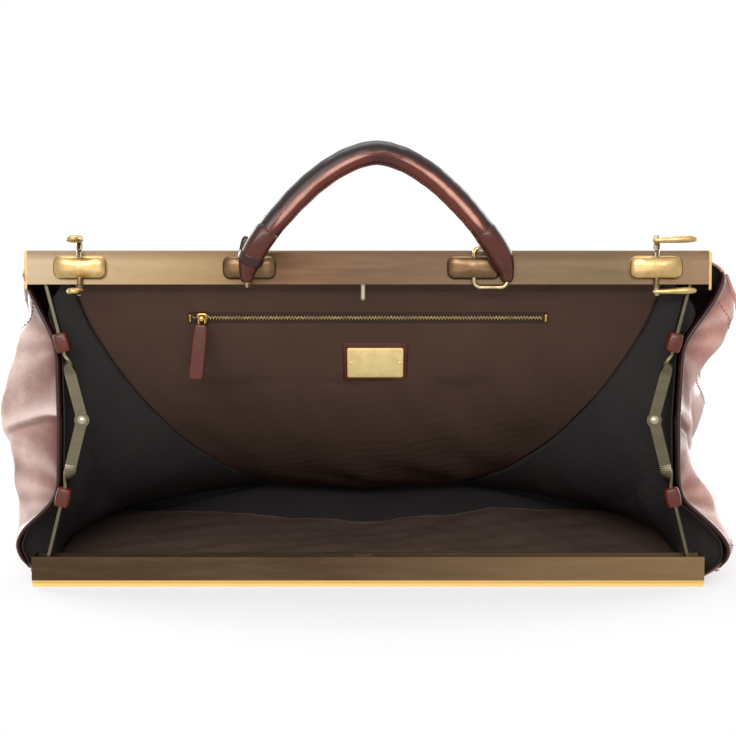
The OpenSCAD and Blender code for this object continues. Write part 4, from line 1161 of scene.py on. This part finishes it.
for side, x, direction, spread in (("left", -226, (0, -1), 6.2), ("right", 226, (1, 0), 3.9)):
    leaves = joined([clipLeaf(clipSet, x, z, direction, spread, lift) for z, lift in clipSet["leaves"]])
    addPiece(side + "ClipLeaves", leaves, "pad", side + "_turn", [side + "_clip"])
    addPiece(side + "ClipPin", clipPin(clipSet, x), "rivet", side + "_turn")

ringSet = {"y": -4.2, "reach": 26.0, "low": 238.75, "high": 269.75, "wire": 1.75, "corner": 5.0, "steps": 110}

def handleRing(s, x, direction):
    # a wire bent to a rounded rectangle, starting and ending inside its pad
    tall = s["high"] - s["low"]
    loop = roundRect(s["reach"], tall, s["corner"], 9) + np.array([s["reach"] / 2, 0])
    start = int(np.argmax(loop[:, 1] - 10 * loop[:, 0]))
    loop = np.roll(loop, -start - 1, axis=0)
    end = 1.0 if loop[0, 1] < 0 else -1.0
    loop = np.vstack([[0, end], loop[::-1], [0, -end]])
    reach = distances(loop)
    loop = readAt(loop, reach, np.linspace(0, reach[-1], s["steps"]))
    direction = np.array([*direction, 0.0])
    path = (np.array([x, s["y"], (s["low"] + s["high"]) / 2]) + loop[:, :1] * direction
            + loop[:, 1:] * np.array([0, 0, 1]))
    across = np.array([-direction[1], direction[0], 0])
    return ringSkin(sweep(path, circle(16, s["wire"]), across))

addPiece("leftHandleRing", handleRing(ringSet, -93, (0, -1)), "ring", "left_bail", ["left_ring"])
addPiece("rightHandleRing", handleRing(ringSet, 83, (1, 0)), "ring", "right_bail", ["right_ring"])
print("pads, clips and rings made")

# Materials of the metal parts, which keep the solids' shapes

metalParts = {
    "frontBar": ["front_bar", "front_bar_ends", "front_clamp_strip", "pin_socket"],
    "backBar": ["back_bar", "back_clamp_strip"],
    "pad": ["back_bar_ends"],
    "steel": [f"{side}_{half}_arm" for side in ("left", "right") for half in ("lower", "upper")],
    "rivet": ["left_knee_rivet", "right_knee_rivet", "front_arm_pins", "back_arm_pins",
              "front_strip_rivets", "back_strip_rivets", "locating_pin"],
}
for finish, names in metalParts.items():
    for name in names:
        for slot in bpy.data.objects[name].material_slots:
            slot.material = finishes[finish]
print("metal finishes given")

# Floor and light

stageSet = {"floor": (0.86, 0.86, 0.86, 1), "grey": (0.36, 0.36, 0.37), "middle": 0.1, "clear": (0.3, 0.62),
            "corners": [(-4, -3), (4, -3), (4, 5), (-4, 5)], "level": -0.0004}

def stageFloor(s):
    # keeps the part's shadow, and fades to white round it for the camera and for reflections
    m = Finish("floorPaint")
    seen = m.ray("Is Camera Ray").math("MAXIMUM", m.ray("Is Glossy Ray"))
    paint = m.node("ShaderNodeBsdfDiffuse", {}, {"Color": s["floor"]})
    white = m.node("ShaderNodeEmission", {}, {"Color": (1, 1, 1, 1), "Strength": 1.0})
    away = (m.axis("X") ** 2 * 1.2 + (m.axis("Y") - s["middle"]) ** 2 * 1.6) ** 0.5
    clear = (away.between(*s["clear"]) * 0.35 + 0.65) * seen
    mesh = bpy.data.meshes.new("floor")
    mesh.from_pydata([(x, y, s["level"]) for x, y in s["corners"]], [], [(0, 1, 2, 3)])
    mesh.materials.append(m.show(m.node("ShaderNodeMixShader", {}, {0: clear, 1: paint, 2: white})))
    floor = bpy.data.objects.new("floor", mesh)
    bpy.context.collection.objects.link(floor)

def softLight(name, place, aim, size, power):
    data = bpy.data.lights.new(name, "AREA")
    data.shape = "RECTANGLE"
    data.size, data.size_y = size
    data.energy = power
    lamp = bpy.data.objects.new(name, data)
    lamp.location = place
    lamp.rotation_mode = "QUATERNION"
    lamp.rotation_quaternion = (Vector(aim) - Vector(place)).to_track_quat("-Z", "Y")
    bpy.context.collection.objects.link(lamp)

# place, aim, size and power of each lamp
lampSet = {
    "frontLight": ((-0.3, -1.7, 1.25), (0, 0, 0.12), (1.4, 0.9), 13),
    "stripLight": ((-0.15, -1.5, 0.6), (0, 0, 0.25), (1.7, 0.14), 13),
    "leftLight": ((-1.15, 1.05, 0.5), (-0.26, 0.06, 0.14), (0.9, 1.2), 25),
    "rightLight": ((1.15, 1.05, 0.6), (0.26, 0.06, 0.14), (0.9, 1.2), 15),
    "topLight": ((0, 0.35, 1.7), (0, 0.05, 0.2), (1.4, 1.0), 13),
}

def whiteWorld(s):
    # grey light on the part, and white where the camera, a reflection or clear stuff looks past it
    m = Finish("studio", world=True)
    look = m.ray("Is Camera Ray").math("MAXIMUM", m.ray("Is Glossy Ray"))
    look = look.math("MAXIMUM", m.ray("Is Transmission Ray"))
    colour = m.blend(look, s["grey"], "#ffffff")
    bpy.context.scene.world = m.show(m.node("ShaderNodeBackground", {}, {"Color": colour}))

stageFloor(stageSet)
for name, lamp in lampSet.items():
    softLight(name, *lamp)
whiteWorld(stageSet)
bpy.context.scene.view_settings.view_transform = "Standard"
